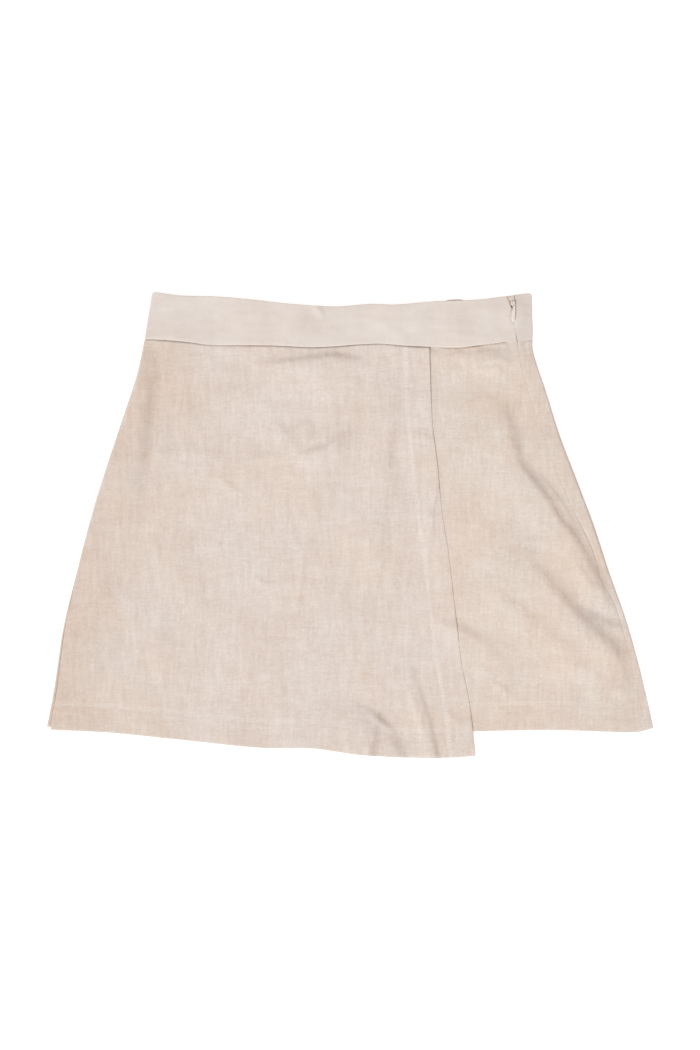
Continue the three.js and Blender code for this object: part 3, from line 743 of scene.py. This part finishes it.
# %% One panel
RIM = CLOTH / 2
HEM_RIM = (CLOTH + TURNED) / 2


def turned_in(distance, depth):
    """The thickness that a hem or edge adds, down to the row of stitches that holds it."""
    return TURNED * (1 - smooth(distance, depth - 0.5, depth + 1.5))


def panel(name, place, knots, counts, hem, step, height, relief, edge=None, seed=0):
    """One panel and its grid, height mm from waist to hem in rows about step apart. relief is a function of
    x, y and the turn of the fold. hem gives y for an x, and edge gives x for a y if there is a free edge."""
    points, turn, opened = lay(
        place, knots, spread(*counts), rows_down(height, step),
        lambda x, z: seam_line(x, z) - seam_gap(x) / 2 - RIM, lambda x, z: hem(x) + HEM_RIM,
    )
    x, y, z = np.moveaxis(points, 2, 0)
    from_hem = y - hem(x)
    from_waist = seam_line(x, z) - y
    from_edge = edge(y) - x if edge else np.full_like(x, FAR)
    lift = relief(x, y, turn) + gathers(opened, from_waist, seed)
    lift += groove(from_waist, 1, 1.0) * seam_depth(x) + groove(from_waist, 1, 7) * eased(x)
    lift += sewn_row(from_hem - HEM_DEPTH, opened, seed + 2)
    inside = RIM + turned_in(from_hem, HEM_DEPTH)
    if edge:
        lift += sewn_row(from_edge - FACING, y, seed + 3)
        inside = np.maximum(inside, RIM + turned_in(from_edge, FACING))
    points = raised(points, lift)
    points[..., 2] = np.maximum(points[..., 2], BACK_Z)
    rows = np.stack([from_hem, from_edge, x - right_side(y)], axis=2)
    grid = {"points": points, "opened": opened, "rows": rows}
    return shell(name, grid, RIM, inside), grid


def on_top(turn):
    """1 on the front, less round a fold, 0 from its outermost point on."""
    return np.where(turn < np.pi / 2, np.cos(np.minimum(turn, np.pi / 2)) ** 2, 0.0)


# %% The folds at the two sides, and where the seams and inseams run
LEG_HEIGHT = 352  # mm from the waist seam to the hem, for sharing out the rows of a grid
WRAP_HEIGHT = 366
HALF_SEAM = SEAM_GAP / 2 + RIM
right_fold = Fold(lambda y: right_side(y) + RIM, 1, BACK_Z, wrap_base)
left_fold = Fold(lambda y: left_side(y) - RIM, -1, BACK_Z, leg_base)
print("fold radii at y = 0, mm:", right_fold.radius(0.0).round(2), left_fold.radius(0.0).round(2))

# At how many degrees of the fold the right side seam runs, and how wide the seam past the zip stands open.
right_seam_turn = curve((170, 115), (0, 100), (-45, 50), (-80, 0), (-120, -30), (-150, -50), (-190, -60))
zip_open = curve(
    (170, 0.05), (150, -0.12), (22, -0.12), (5, 0.08), (-25, 0.08), (-50, -0.1), (-85, 0.05),
    (-110, -0.15), (-190, -0.15),
)


def side_seam(y):
    """The distance along the cloth from the right fold to the side seam."""
    return right_fold.turned(right_seam_turn(y), y)


def inseam(side):
    """The middle seam down to the crotch, then the leg's inner seam, which moves 12 mm out to the hem."""
    return lambda y: side * (HALF_SEAM + 12 * smooth(-y, -CROTCH_Y, 190))


def start(y):
    """Where a fold's turn begins, which is distance 0 along the cloth."""
    return 0 * y


def side_seam_groove(x, y, turn):
    """The groove of the right side seam, where that comes round to the front."""
    away = side_seam(y) - turn * right_fold.radius(y)
    away = np.where(turn > 0, away, away + np.maximum(x - right_fold.side(y) - right_fold.radius(y), 0))
    return groove(away, 0.6, 1.0) * smooth(-y, 0, 60)


def inseam_groove(x, y, side):
    """The groove of a leg's inner seam, from the crotch down."""
    return groove(x - inseam(side)(y), 0.9, 3) * smooth(-y, -CROTCH_Y, 100)


def back_height(x, y, turn):
    """The back's creases, which rise from the table, and the groove of its middle seam."""
    return smooth(turn, 3.0, np.pi) * (back_relief(x, y) * -1 + groove(x, 0.5, 2))


# %% The wrap panel
def wrap_height(x, y, turn):
    """Its folds on the front, and the groove of the side seam."""
    return wrap_relief(x, y) * on_top(turn) + side_seam_groove(x, y, turn)


wrap, wrap_grid = panel(
    "wrap_front", right_fold.place,
    [
        lambda y: side_seam(y) - HALF_SEAM, lambda y: np.minimum(side_seam(y) - HALF_SEAM - 2, 0),
        lambda y: right_fold.front(wrap_edge(y) - HEM_RIM, y),
    ],
    (8, 212), wrap_hem, step=1.68, height=WRAP_HEIGHT, relief=wrap_height, edge=wrap_edge, seed=50,
)
dress(wrap, ecru_linen, "garment", "linen", "wrap_panel")

# %% The front of the left leg, which shows past the wrap panel's edge
# How much higher the leg lies right beside that edge, and how deep the zip's groove is.
closed_edge = curve(
    (140, 0), (95, 0.6), (75, 0.35), (55, 0.35), (25, 0.65), (0, 0.7), (-60, 0.5), (-84, 0.2), (-94, 0),
    (-108, 0.45), (-130, 0.75), (-155, 0.6), (-175, 0.2), (-190, 0),
)
zip_depth = curve(
    (170, 0.3), (150, 0.12), (120, 0.03), (60, 0.03), (15, 0.1), (-10, 0.4), (-25, 0.25), (-55, 0.05),
    (-85, 0.2), (-110, 0), (-190, 0),
)
CORNER_X = 78  # where the wrap panel's edge meets the waist seam


def zip_groove(x, y):
    """The dip along the closed zip and the side seam under it."""
    return groove(x - zip_seam(y), 1, 1.1) * zip_depth(y)


def left_front_height(x, y, turn):
    """Its folds, its seams, a dip at the corner of the wrap panel, and the rise beside the panel's edge."""
    corner = groove(x - CORNER_X, 1.2, 5) * np.exp(-(((waist_seam(x) - y) / 4) ** 2))
    past = x - wrap_edge(y)
    level = closed_edge(y) * smooth(past, -0.2, 1) * (1 - smooth(past, 10, 80))
    return leg_relief(x, y) + zip_groove(x, y) + inseam_groove(x, y, 1) + corner + level


left_front, left_front_grid = panel(
    "left_leg_front", flat_cloth(leg_base),
    [
        inseam(1), lambda y: wrap_edge(y) - 8, lambda y: wrap_edge(y) - 0.5, lambda y: wrap_edge(y) + 2.5,
        lambda y: zip_seam(y) - zip_open(y) / 2 - RIM,
    ],
    (14, 5, 6, 118), left_leg_hem, step=1.7, height=LEG_HEIGHT, relief=left_front_height, seed=60,
)
dress(left_front, leg_linen, "garment", "linen", "front_left_leg")

# %% The front of the right leg, hidden under the wrap panel
def right_front_height(x, y, turn):
    """A faint ripple, and its inner seam."""
    return ripple(x, y, 50, 0.08, 61) + inseam_groove(x, y, -1)


right_front, right_front_grid = panel(
    "right_leg_front", flat_cloth(leg_base),
    [lambda y: right_fold.side(y) + right_fold.radius(y) + 0.5, inseam(-1)],
    (60,), right_leg_hem, step=5, height=LEG_HEIGHT, relief=right_front_height, seed=70,
)
dress(right_front, leg_linen, "garment", "linen", "front_right_leg")

# %% The back of the left leg, which comes round the side fold up to the zip
def left_back_height(x, y, turn):
    """The leg's folds and the zip where it shows on the front, and the back's own relief behind."""
    return (leg_relief(x, y) + zip_groove(x, y)) * on_top(turn) + back_height(x, y, turn)


left_back, left_back_grid = panel(
    "left_leg_back", left_fold.place,
    [
        lambda y: left_fold.front(zip_seam(y) + zip_open(y) / 2 + RIM, y), start, left_fold.end,
        lambda y: left_fold.back(inseam(1)(y), y),
    ],
    (14, 12, 50), left_leg_hem, step=1.9, height=LEG_HEIGHT, relief=left_back_height, seed=80,
)
dress(left_back, leg_linen, "garment", "linen", "back_left_leg")

# %% The back of the right leg, which meets the wrap panel at the side seam
def right_back_height(x, y, turn):
    """The back's relief, and the groove of the side seam on what comes round the fold."""
    return back_height(x, y, turn) + side_seam_groove(x, y, turn) * (turn < 3)


right_back, right_back_grid = panel(
    "right_leg_back", right_fold.place,
    [
        lambda y: right_fold.back(inseam(-1)(y), y), right_fold.end,
        lambda y: side_seam(y) + HALF_SEAM,
    ],
    (60, 16), right_leg_hem, step=2.6, height=LEG_HEIGHT, relief=right_back_height, seed=90,
)
dress(right_back, leg_linen, "garment", "linen", "back_right_leg")

# %% [markdown]
# ## The waistband
#
# The band is cut in two pieces, folded along the top and stiffened inside, so it lies smoother than the
# panels and its lower edge stands over them with a round shoulder. The front piece turns the wearer's right
# side and ends just behind it. The back piece comes round the left side as far as the zip.

# %% The band's folds, ends and edges
BAND_RIM = BAND / 2
BAND_HEIGHT = 41.0
BAND_END = 2.0  # how far the front piece reaches onto the back
PRESSED = 0.65  # how much thinner the ends at the zip are, from inside
END_RIM = (BAND - PRESSED) / 2
ZIP_TOP_Y, ZIP_SEAM_Y = 209, 167  # where the ends at the zip meet the top edge and the waist seam
right_band_fold = Fold(lambda y: right_side(y) + BAND_RIM, 1, BAND_BACK_Z, band_base)
left_band_fold = Fold(lambda y: left_side(y) - BAND_RIM, -1, BAND_BACK_Z, band_base)
print("band fold radii, mm:", [float(f.radius(190).round(2)) for f in (right_band_fold, left_band_fold)])

# How far each end stands from the zip's line, and how high the shoulder over the waist seam is.
open_front = curve(
    (213, 9.8), (208.4, 7.2), (204, 4.9), (200.6, 3.4), (198.6, 2), (195, 0.7), (190, 0.05), (178, -0.05),
    (175, 0), (172, 0.25), (166, 0.2), (160, 0.1),
)
open_back = curve((213, 0.5), (198, 0.5), (190, 0.05), (160, 0.05))
shoulder = curve((-190, 0.35), (-60, 0.35), (0, 0.2), (40, 0.05), (130, 0), (167, 0))


def front_end(y):
    """Where the front piece ends at the zip: x for a given y."""
    return zip_seam(y) - open_front(y)


def back_end(y):
    """Where the back piece ends at the zip: x for a given y."""
    return zip_seam(y) + open_back(y)


def band_top(x, z):
    """The top edge. The back's stands a little proud of the front's in one place."""
    behind = 1 - smooth(z, 1.0, 2.0)
    return waist_top(x) - BAND_RIM + 1.2 * np.exp(-(((x - 96) / 8) ** 4)) * behind


def pressed(x, z, end):
    """How much thinner the band is towards its end at the zip."""
    return PRESSED * (1 - smooth(np.abs(x - end), 2, 8)) * smooth(z, 1.6, 2.4)


def band_height(x, y, turn):
    """The creases on the front, and a shallow print of the pull in the cloth under it."""
    from_pull = np.abs(x - SLIDER_X - 0.07 * (y - SLIDER_Y))
    print_depth = 0.8 * np.exp(-((from_pull / 2.2) ** 6)) * smooth(y, 183.6, 185) * (1 - smooth(y, 198, 201))
    return (band_relief(x, y) - print_depth) * on_top(turn)


# %% The two pieces of the band
def band_piece(name, place, knots, counts, end):
    """One piece of the band and its grid. end gives the x of its end at the zip for a y."""
    points, turn, opened = lay(
        place, knots, spread(*counts), rows_down(BAND_HEIGHT, 1.15, 1.5, 4),
        lambda x, z: band_top(x, z) + pressed(x, z, end(ZIP_TOP_Y)) / 2,
        lambda x, z: seam_line(x, z) + seam_gap(x) / 2 + BAND_RIM - pressed(x, z, end(ZIP_SEAM_Y)) / 2,
    )
    x, y, z = np.moveaxis(points, 2, 0)
    lift = band_height(x, y, turn) + groove(y - seam_line(x, z), 1, 1.6) * shoulder(x)
    grid = {"points": raised(points, lift), "opened": opened, "rows": np.full(points.shape, FAR)}
    return shell(name, grid, BAND_RIM, BAND_RIM - pressed(x, z, end(y))), grid


band_front, band_front_grid = band_piece(
    "waistband_front_linen", right_band_fold.place,
    [
        lambda y: right_band_fold.end(y) + BAND_END - BAND_RIM, right_band_fold.end, start,
        lambda y: right_band_fold.front(front_end(y) - END_RIM, y),
    ],
    (3, 12, 250), front_end,
)
dress(band_front, band_linen, "garment", "band_linen", "waistband_front")

band_back, band_back_grid = band_piece(
    "waistband_back_linen", left_band_fold.place,
    [
        lambda y: left_band_fold.front(back_end(y) + END_RIM, y), start, left_band_fold.end,
        lambda y: left_band_fold.back(
            right_side(y) + BAND_RIM + right_band_fold.radius(y) + BAND_END + SEAM_GAP + BAND_RIM, y
        ),
    ],
    (20, 12, 200), back_end,
)
dress(band_back, band_linen, "garment", "band_linen", "waistband_back")

# %% [markdown]
# ## Stitches
#
# The hems and the free edge are held by a machine's lockstitch. From outside it is a row of short dashes: the
# thread comes up through the cloth, lies on it and goes down again. Bump could draw them, but small rounded
# bodies catch the light and stand up to a close look. A row lies where a distance on the panel's grid has a
# given value, so it is traced on the folded surface and cut into equal steps.

# %% Tubes along paths
def tubes(path, radii, sides, up, loop=False):
    """Rings of points round paths: the path + radii[0] * cos a to one side + radii[1] * sin a along up."""
    ahead = np.roll(path, -1, axis=1) - np.roll(path, 1, axis=1) if loop else np.gradient(path, axis=1)
    beside = np.cross(up, ahead)
    beside /= np.linalg.norm(beside, axis=-1, keepdims=True)
    above = np.cross(ahead, beside)
    above /= np.linalg.norm(above, axis=-1, keepdims=True)
    angle = 2 * np.pi * np.arange(sides)[:, None] / sides
    aside = np.cos(angle) * (radii[0] * beside)[..., None, :]
    return path[..., None, :] + (aside + np.sin(angle) * (radii[1] * above)[..., None, :])


def skin(rings, loop=False):
    """Faces between rings, an array of tubes, rings, points round and x, y, z, the points running
    anticlockwise for someone whom the tube runs towards. A loop has no ends; other tubes get two caps."""
    tube_count, ring_count, sides = rings.shape[:3]
    index = np.arange(rings[..., 0].size).reshape(tube_count, ring_count, sides)
    beside = np.roll(index, -1, axis=2)
    quads = np.stack([index, beside, np.roll(beside, -1, 1), np.roll(index, -1, 1)], axis=-1)
    points = rings.reshape(-1, 3)
    if loop:
        return points, quads.reshape(-1, 4)
    middles = rings[:, [0, -1]].mean(axis=2).reshape(-1, 3)
    first, last = len(points) + np.arange(2 * tube_count).reshape(tube_count, 2, 1).swapaxes(0, 1)
    first_cap = np.stack([beside[:, 0], index[:, 0], first + 0 * index[:, 0]], axis=-1)
    last_cap = np.stack([index[:, -1], beside[:, -1], last + 0 * index[:, 0]], axis=-1)
    caps = np.concatenate([first_cap, last_cap]).reshape(-1, 3)
    return np.concatenate([points, middles]), quads[:, :-1].reshape(-1, 4), caps


# %% A row of stitches
STITCH_LENGTH = 2.4
THREAD = 0.24  # half its width as it lies
FLATTENED = 0.7  # its height to its width

# Along one stitch: the place on it as a share of its length, the height over the cloth, and the thickness.
STITCH_SHARES = np.array([-0.5, -0.38, 0, 0.38, 0.5])
STITCH_HEIGHTS = np.array([-0.25, 0.06, 0.1, 0.06, -0.25])
STITCH_SWELL = np.array([0.6, 0.95, 1, 0.95, 0.6])


def trace(grid, row, level, across=False):
    """The line on the outer surface where one of the grid's distances falls to a level, going down each
    column or across each row, and the surface's normals along it."""
    points = grid["points"]
    fields = [grid["rows"][..., row : row + 1] - level, points, normals(points)]
    if across:
        fields = [field.swapaxes(0, 1) for field in fields]
    distance = fields[0][..., 0]
    after = np.clip((distance > 0).sum(axis=0), 1, len(distance) - 1)
    every = np.arange(distance.shape[1])
    start_value, end_value = distance[after - 1, every], distance[after, every]
    share = np.clip(start_value / (start_value - end_value), 0, 1)[:, None]
    line, out = [f[after - 1, every] * (1 - share) + f[after, every] * share for f in fields[1:]]
    return line + RIM * out, out


def stitched(name, line, out):
    """One body for each stitch: its path rises out of the cloth, runs along the line and dives in again."""
    run = np.concatenate([[0], np.cumsum(np.linalg.norm(np.diff(line, axis=0), axis=1))])
    middles = np.arange(STITCH / 2, run[-1], STITCH)
    at = middles[:, None] + STITCH_LENGTH * STITCH_SHARES
    path, up = [np.stack([np.interp(at, run, column) for column in part.T], -1) for part in (line, out)]
    path = path + up * STITCH_HEIGHTS[:, None]
    swell = THREAD * STITCH_SWELL[:, None]
    piece = make(name, *skin(tubes(path, (swell, FLATTENED * swell), 6, up)))
    print(f"{name}: {len(middles)} stitches")
    return piece


# %% [markdown]
# The thread is spun polyester, two plies twisted together and dyed to match, a little paler than the cloth.
# It gives the eye a soft satin line with a slanting twist. The twist is about 0.3 mm apart, too fine to show,
# so it is drawn at 0.6 mm.

# %% Sewing thread
TWIST = 0.6  # mm from one turn of the twist to the next


def spun_thread(name, colour, shadow):
    """A slanting twist whose grooves take the shadow colour as painted shade, with a fluff that makes it
    uneven.
    """
    made, tree = new_material(name)
    place = add(tree, "TexCoord").outputs["Object"]
    twist = add(tree, "TexWave", {"Vector": place, "Scale": 1 / (TWIST * MM) / 2, "Distortion": 1.0},
                bands_direction="DIAGONAL").outputs["Fac"]
    fluff = add(tree, "TexNoise", {"Vector": place, "Scale": 1 / (6 * MM), "Detail": 2.0})
    shade = add(tree, "Math", {0: twist, 1: 0.35, 2: fluff}, operation="MULTIPLY_ADD")
    mixed = add(tree, "Mix", {"Factor": shade, "A": rgb(shadow), "B": rgb(colour)}, data_type="RGBA")
    bump = add(tree, "Bump", {"Height": twist, "Strength": 0.4, "Distance": 0.08 * MM})
    shader = add(tree, "BsdfPrincipled", {
        "Base Color": mixed, "Roughness": 0.55, "IOR": 1.5, "Sheen Weight": 0.2, "Normal": bump,
    })
    add(tree, "OutputMaterial", {"Surface": shader})
    print(f"{name}: {len(tree.nodes)} nodes")
    return made


thread = spun_thread("spun_polyester_thread", "#F6EFE8", "#DDD0C4")

# %% The rows
rows_on = {}
for name, grid in (
    ("wrap", wrap_grid), ("left_front", left_front_grid), ("right_front", right_front_grid),
    ("left_back", left_back_grid), ("right_back", right_back_grid),
):
    rows_on[name] = [stitched(name + "_hem_stitches", *trace(grid, 0, HEM_DEPTH))]
    if name == "wrap":
        rows_on[name].append(stitched("wrap_edge_stitches", *trace(grid, 1, FACING, across=True)))
    for row in rows_on[name]:
        dress(row, thread, "garment", "linen")

# %% [markdown]


# %% [markdown]
# ## The invisible zip
#
# An invisible zip hides its coil behind the tape, so that of a closed one only the slider and the drop-shaped
# pull are seen, at the top. Both are small zinc castings in an enamel that matches the cloth: smooth, softly
# glossy and rounded at every edge. They are made as rings and outlines with formulas, in the zip's own
# frame, which leans a little. The tape follows the seam's line, and the coil is the flattened helix that a
# real one is.

# %% The zip's frame
LEAN = np.radians(-5.5)
PIVOT_Z = 6.5


def on_zip(points):
    """From across, up the zip and height to x, y, z: turned by the lean and moved to the slider."""
    across, up, z = np.moveaxis(np.asarray(points, float), -1, 0)
    x = SLIDER_X + across * np.cos(LEAN) - up * np.sin(LEAN)
    y = SLIDER_Y + across * np.sin(LEAN) + up * np.cos(LEAN)
    return np.stack([x, y, z], axis=-1)


def together(*bodies):
    """Several bodies, each of points and arrays of faces, as one."""
    points, faces, count = [], [], 0
    for body_points, *body_faces in bodies:
        points.append(body_points)
        faces += [face + count for face in body_faces]
        count += len(body_points)
    return np.concatenate(points), *faces


def rounder(angle, power):
    """A cosine whose size is raised to a power: below 1 it turns a circle into a rounded square."""
    return np.sign(np.cos(angle)) * np.abs(np.cos(angle)) ** power


def slab(levels, power=0.4, sides=32):
    """Rounded rectangles stacked up: levels holds rows of height, half width and half length."""
    angle = 2 * np.pi * np.arange(sides) / sides
    rows = np.array(levels)[:, :, None]
    ring = [rows[:, 1] * rounder(angle, power), rows[:, 2] * rounder(angle - np.pi / 2, power)]
    return np.stack([*ring, rows[:, 0] + 0 * angle], axis=-1)[None]


# %% [markdown]
# The enamel is baked on: a thin even coat that pools in the corners and has a faint orange peel, about
# 0.8 mm from crest to crest. It gives the eye a pale ivory with a small soft highlight.

# %% Enamel
def baked_enamel(name, colour, pooled):
    """Patches of thicker and thinner coat, which differ in colour and gloss, and a fine orange peel."""
    made, tree = new_material(name)
    place = add(tree, "TexCoord").outputs["Object"]
    coat = add(tree, "TexNoise", {"Vector": place, "Scale": 1 / (3 * MM), "Detail": 2.0})
    mixed = add(tree, "Mix", {"Factor": coat, "A": rgb(pooled), "B": rgb(colour)}, data_type="RGBA")
    gloss = add(tree, "MapRange", {"Value": coat, "To Min": 0.26, "To Max": 0.42})
    peel = add(tree, "TexNoise", {"Vector": place, "Scale": 1 / (0.8 * MM), "Detail": 1.0})
    bump = add(tree, "Bump", {"Height": peel, "Strength": 0.3, "Distance": 0.03 * MM})
    shader = add(tree, "BsdfPrincipled", {
        "Base Color": mixed, "Roughness": gloss, "IOR": 1.5, "Normal": bump,
    })
    add(tree, "OutputMaterial", {"Surface": shader})
    print(f"{name}: {len(tree.nodes)} nodes")
    return made


enamel = baked_enamel("baked_enamel_on_zinc", "#F0E8E0", "#E2D7CC")

# %% The pull: a drop with an eye at its head
PULL_TOP = 0.5
PULL_TIP = -16.9
PULL_HALF_THICK = 0.5
PULL_DRIFT = 0.03  # it hangs this much off the zip's own line
EYE_MIDDLE = -1.35
EYE_HALF = (0.65, 0.85)
SQUARED = 0.6  # power that squares the eye and the pull's section a little
AROUND, SECTION = 112, 16  # points round the pull's outline, and round its section
pull_half_width = curve(
    (-16.9, 0.9), (-16.3, 1.2), (-15, 1.55), (-13, 1.75), (-10.5, 1.72), (-8, 1.5), (-4.5, 1.2),
    (-2.5, 1.2), (0.5, 1.2),
)
around = 2 * np.pi * np.arange(AROUND)[:, None] / AROUND
section = 2 * np.pi * np.arange(SECTION) / SECTION
outer_y = (PULL_TOP + PULL_TIP) / 2 + (PULL_TOP - PULL_TIP) / 2 * np.cos(around)
outer_x = pull_half_width(outer_y) * np.sqrt(1 - np.cos(around) ** 8) * np.sign(np.sin(around))
eye_x = EYE_HALF[0] * rounder(around - np.pi / 2, SQUARED)
eye_y = EYE_MIDDLE + EYE_HALF[1] * rounder(around, SQUARED)
share = (1 + rounder(section, SQUARED)) / 2
height = PIVOT_Z + PULL_HALF_THICK * rounder(section - np.pi / 2, SQUARED)
drop_x = eye_x + share * (outer_x - eye_x)
drop_y = eye_y + share * (outer_y - eye_y)
drop = np.stack([drop_x - PULL_DRIFT * drop_y, drop_y, height + 0 * outer_x], axis=-1)[None]
pull = make("pull_tab_enamel", *skin(on_zip(drop), loop=True))
dress(pull, enamel, "pull_tab", "zip_enamel", "zip_pull")
print(f"pull: {PULL_TOP - PULL_TIP:.1f} mm long, {2 * outer_x.max():.1f} mm wide")

# %% The slider: two rolled channels, a plate, a neck and the arch that the pull hangs in
# The two channels lie side by side. In each pair, the first number is for the one on the wearer's right.
CHANNEL_AT = np.array([-2.35, 2.35])[:, None]
CHANNEL_Z = np.array([3.8, 2.85])[:, None]
CHANNEL_WIDE = 0.85  # half its width, and below it half its height
CHANNEL_HIGH = np.array([1.9, 0.9])[:, None, None]
CHANNEL_LOW = np.array([-2.1, -3.3])[:, None]
CHANNEL_TOP = 2.6
ROUNDED = 0.92  # how much of its section a channel loses at its ends
ARCH = 1.4  # from the middle of the arch to that of its wire
ARCH_WIRE = (0.4, 0.52)
ACROSS, ALONG, UP = np.eye(3)
shares = np.sin(np.linspace(-np.pi / 2, np.pi / 2, 13))
channel_y = (CHANNEL_LOW + CHANNEL_TOP) / 2 + (CHANNEL_TOP - CHANNEL_LOW) / 2 * shares
channels = np.stack([CHANNEL_AT + 0 * channel_y, channel_y, CHANNEL_Z + 0 * channel_y], axis=-1)
rolled = np.sqrt(1 - ROUNDED * shares**10)[:, None]
arch_turn = 2 * np.pi * np.arange(40) / 40
arch = np.stack([0 * arch_turn, ARCH * np.cos(arch_turn), PIVOT_Z + ARCH * np.sin(arch_turn)], axis=-1)[None]
slider = make("zip_slider_enamel", *together(
    skin(on_zip(tubes(channels, (CHANNEL_WIDE * rolled, CHANNEL_HIGH * rolled), 16, UP))),
    skin(on_zip(slab([(1.95, 1.6, 2.5), (2.1, 1.8, 2.7), (4.3, 1.8, 2.7), (4.5, 1.6, 2.5)]))),
    skin(on_zip(slab([(4.4, 0.5, 2.1), (4.7, 0.46, 1.9), (5.1, 0.43, 1.6), (5.4, 0.4, 1.3)]))),
    skin(on_zip(tubes(arch, ARCH_WIRE, 14, ACROSS, loop=True)), loop=True),
))
dress(slider, enamel, "garment", "zip_enamel", "zip_slider")

# %% [markdown]
# The tape is a narrow woven polyester ribbon under the seam. It passes beneath the slider, and its ends rise
# again behind the opening of the waistband. The coil is one stiff nylon thread wound flat and sewn to the
# tape's back. Real turns are about 0.7 mm apart, drawn here at 1.2 mm.

# %% The tape
TAPE_HALF = 4.0
TAPE_WALL = 0.4
TAPE_TOP = 210.0
TAPE_LENGTH = 201.0
END_SPREAD = 4.5  # how much further its end reaches behind the opening of the band
BELOW_TOP = 0.8  # how far it ends under the top edge of the band
UNDER_OPENING = 0.4  # mm from the middle of the band down to that of the tape beside the slider
UNDER_BACK = 0.95  # and where it passes under the back piece
tape_z = curve(
    (0, 2.1), (158, 2.1), (172, 2.5), (195, 2.4), (198.6, 1.5), (204.9, 1.5), (205.4, 3.8), (211, 3.8),
)
tape_streaks = [(0.8, 30, 0.5), (3, 3, 0.2)]
ribbon = woven("polyester_zip_tape", "#D0BFB4", "#E6DAD2", "#FFFDFA", tape_streaks, 0.75, 0.1)


def band_over(across, y):
    """The height of the middle of the band's wall over the tape."""
    return band_base(zip_seam(y) + across, y)


def beside_slider(across, y):
    """How far the tape rises beside the slider, where it lies close under the opened band."""
    share = smooth(np.abs(across), 3.1, 3.7) * smooth(y, 197, 199)
    return share * (band_over(across, y) - UNDER_OPENING - tape_z(y)) * smooth(-across, 0, 1)


def under_back(across, y, height):
    """How far the tape's end has to sink to pass under the back piece of the band."""
    return np.maximum(height - (band_over(across, y) - UNDER_BACK), 0) * smooth(across, -0.9, 0.5)


y = TAPE_TOP - TAPE_LENGTH * np.linspace(0, 1, 241)[:, None]
sideways = np.linspace(-1, 1, 41)
across = sideways * np.where(sideways < 0, TAPE_HALF + END_SPREAD * smooth(y, 203, 208), TAPE_HALF)
x = zip_seam(y) + across
tape_height = tape_z(y) + beside_slider(across, y)
tape_height = tape_height - under_back(across, y, tape_height)
y = y + (waist_top(x) - BELOW_TOP - TAPE_TOP) * smooth(y, 204, 210)
tape_points = np.stack([x, y, tape_height], axis=2)
tape_grid = {"points": tape_points, "opened": x, "rows": np.full(tape_points.shape, FAR)}
tape = shell("zip_tape_ribbon", tape_grid, TAPE_WALL / 2, np.full_like(x, TAPE_WALL / 2))
dress(tape, ribbon, "garment", "zip_tape", "zip_tape")

# %% The coil
COIL_PITCH = 1.2
COIL_TOP = 197.5
COIL_LENGTH = 188
COIL_STEPS = 16  # points in one turn
COIL_HALF = (1.5, 0.28)  # half its width and half its height, to the middle of the thread
BELOW_TAPE = 0.75
COIL_THREAD = 0.25
wound = np.arange(0, int(COIL_STEPS * COIL_LENGTH / COIL_PITCH)) * 2 * np.pi / COIL_STEPS
coil_y = COIL_TOP - COIL_PITCH * wound / (2 * np.pi)
coil_x = zip_seam(coil_y) + COIL_HALF[0] * np.cos(wound)
coil_z = tape_z(coil_y) - BELOW_TAPE + COIL_HALF[1] * np.sin(wound)
coil_path = np.stack([coil_x, coil_y, coil_z], axis=-1)[None]
coil = make("zip_coil", *skin(tubes(coil_path, (COIL_THREAD, COIL_THREAD), 5, ALONG)))
dress(coil, spun_thread("nylon_coil", "#F1E9DF", "#DFD3C6"), "garment", "zip_tape")
print(f"coil: {COIL_LENGTH / COIL_PITCH:.0f} turns")

# %% [markdown]
# ## Light, table and camera
#
# The garment is shown from straight above on white. A large soft light from the lower left makes the folds
# read, and a pale sky fills the shadows. The table glows a little, as a light table does, so that the
# shadow round the garment stays faint.

# %% Table
TABLE_HALF = 2500.0
TABLE_Z = -0.1
table_white, tree = new_material("white_light_table")
board = add(tree, "BsdfPrincipled", {
    "Base Color": rgb("#B4B4B4"), "Roughness": 0.7, "Emission Color": rgb("#FFFFFF"),
    "Emission Strength": 0.75,
})
add(tree, "OutputMaterial", {"Surface": board})
corners = [(x * TABLE_HALF, y * TABLE_HALF, TABLE_Z) for x, y in ((-1, -1), (1, -1), (1, 1), (-1, 1))]
table = make("table", np.array(corners), np.array([[0, 1, 2, 3]]))
table.data.materials.append(table_white)
print("table:", 2 * TABLE_HALF * MM, "m square")

# %% Sun, sky and camera
ELEVATION = np.radians(50)
TO_RIGHT, TO_TOP = 0.62, 0.785  # how the level part of the light's way is shared
sun = bpy.data.lights.new("soft_key", "SUN")
sun.energy = 2.05
sun.color = (0.9, 1.01, 1.055)
sun.angle = np.radians(18)
sun_object = bpy.data.objects.new("soft_key", sun)
travel = Vector((TO_RIGHT * np.cos(ELEVATION), TO_TOP * np.cos(ELEVATION), -np.sin(ELEVATION)))
sun_object.rotation_euler = travel.to_track_quat("-Z", "Y").to_euler()
bpy.context.scene.collection.objects.link(sun_object)

world = bpy.data.worlds.new("pale_sky")
world.use_nodes = True
world.node_tree.nodes["Background"].inputs["Color"].default_value = (1.1, 0.97, 0.92, 1)
world.node_tree.nodes["Background"].inputs["Strength"].default_value = 0.5
bpy.context.scene.world = world
bpy.context.scene.view_settings.view_transform = "Standard"

VIEW_HEIGHT = 960.0  # mm of the table from the bottom of the view to its top
LENS = 100.0
SENSOR = 36.0
camera = bpy.data.cameras.new("overhead")
camera.lens = LENS
camera.sensor_width = SENSOR
camera_object = bpy.data.objects.new("overhead", camera)
camera_object.location = (0, 0, (VIEW_HEIGHT * LENS / SENSOR + LEG_Z) * MM)
bpy.context.scene.collection.objects.link(camera_object)
bpy.context.scene.camera = camera_object
print("camera, m over the table:", round(camera_object.location.z, 3))
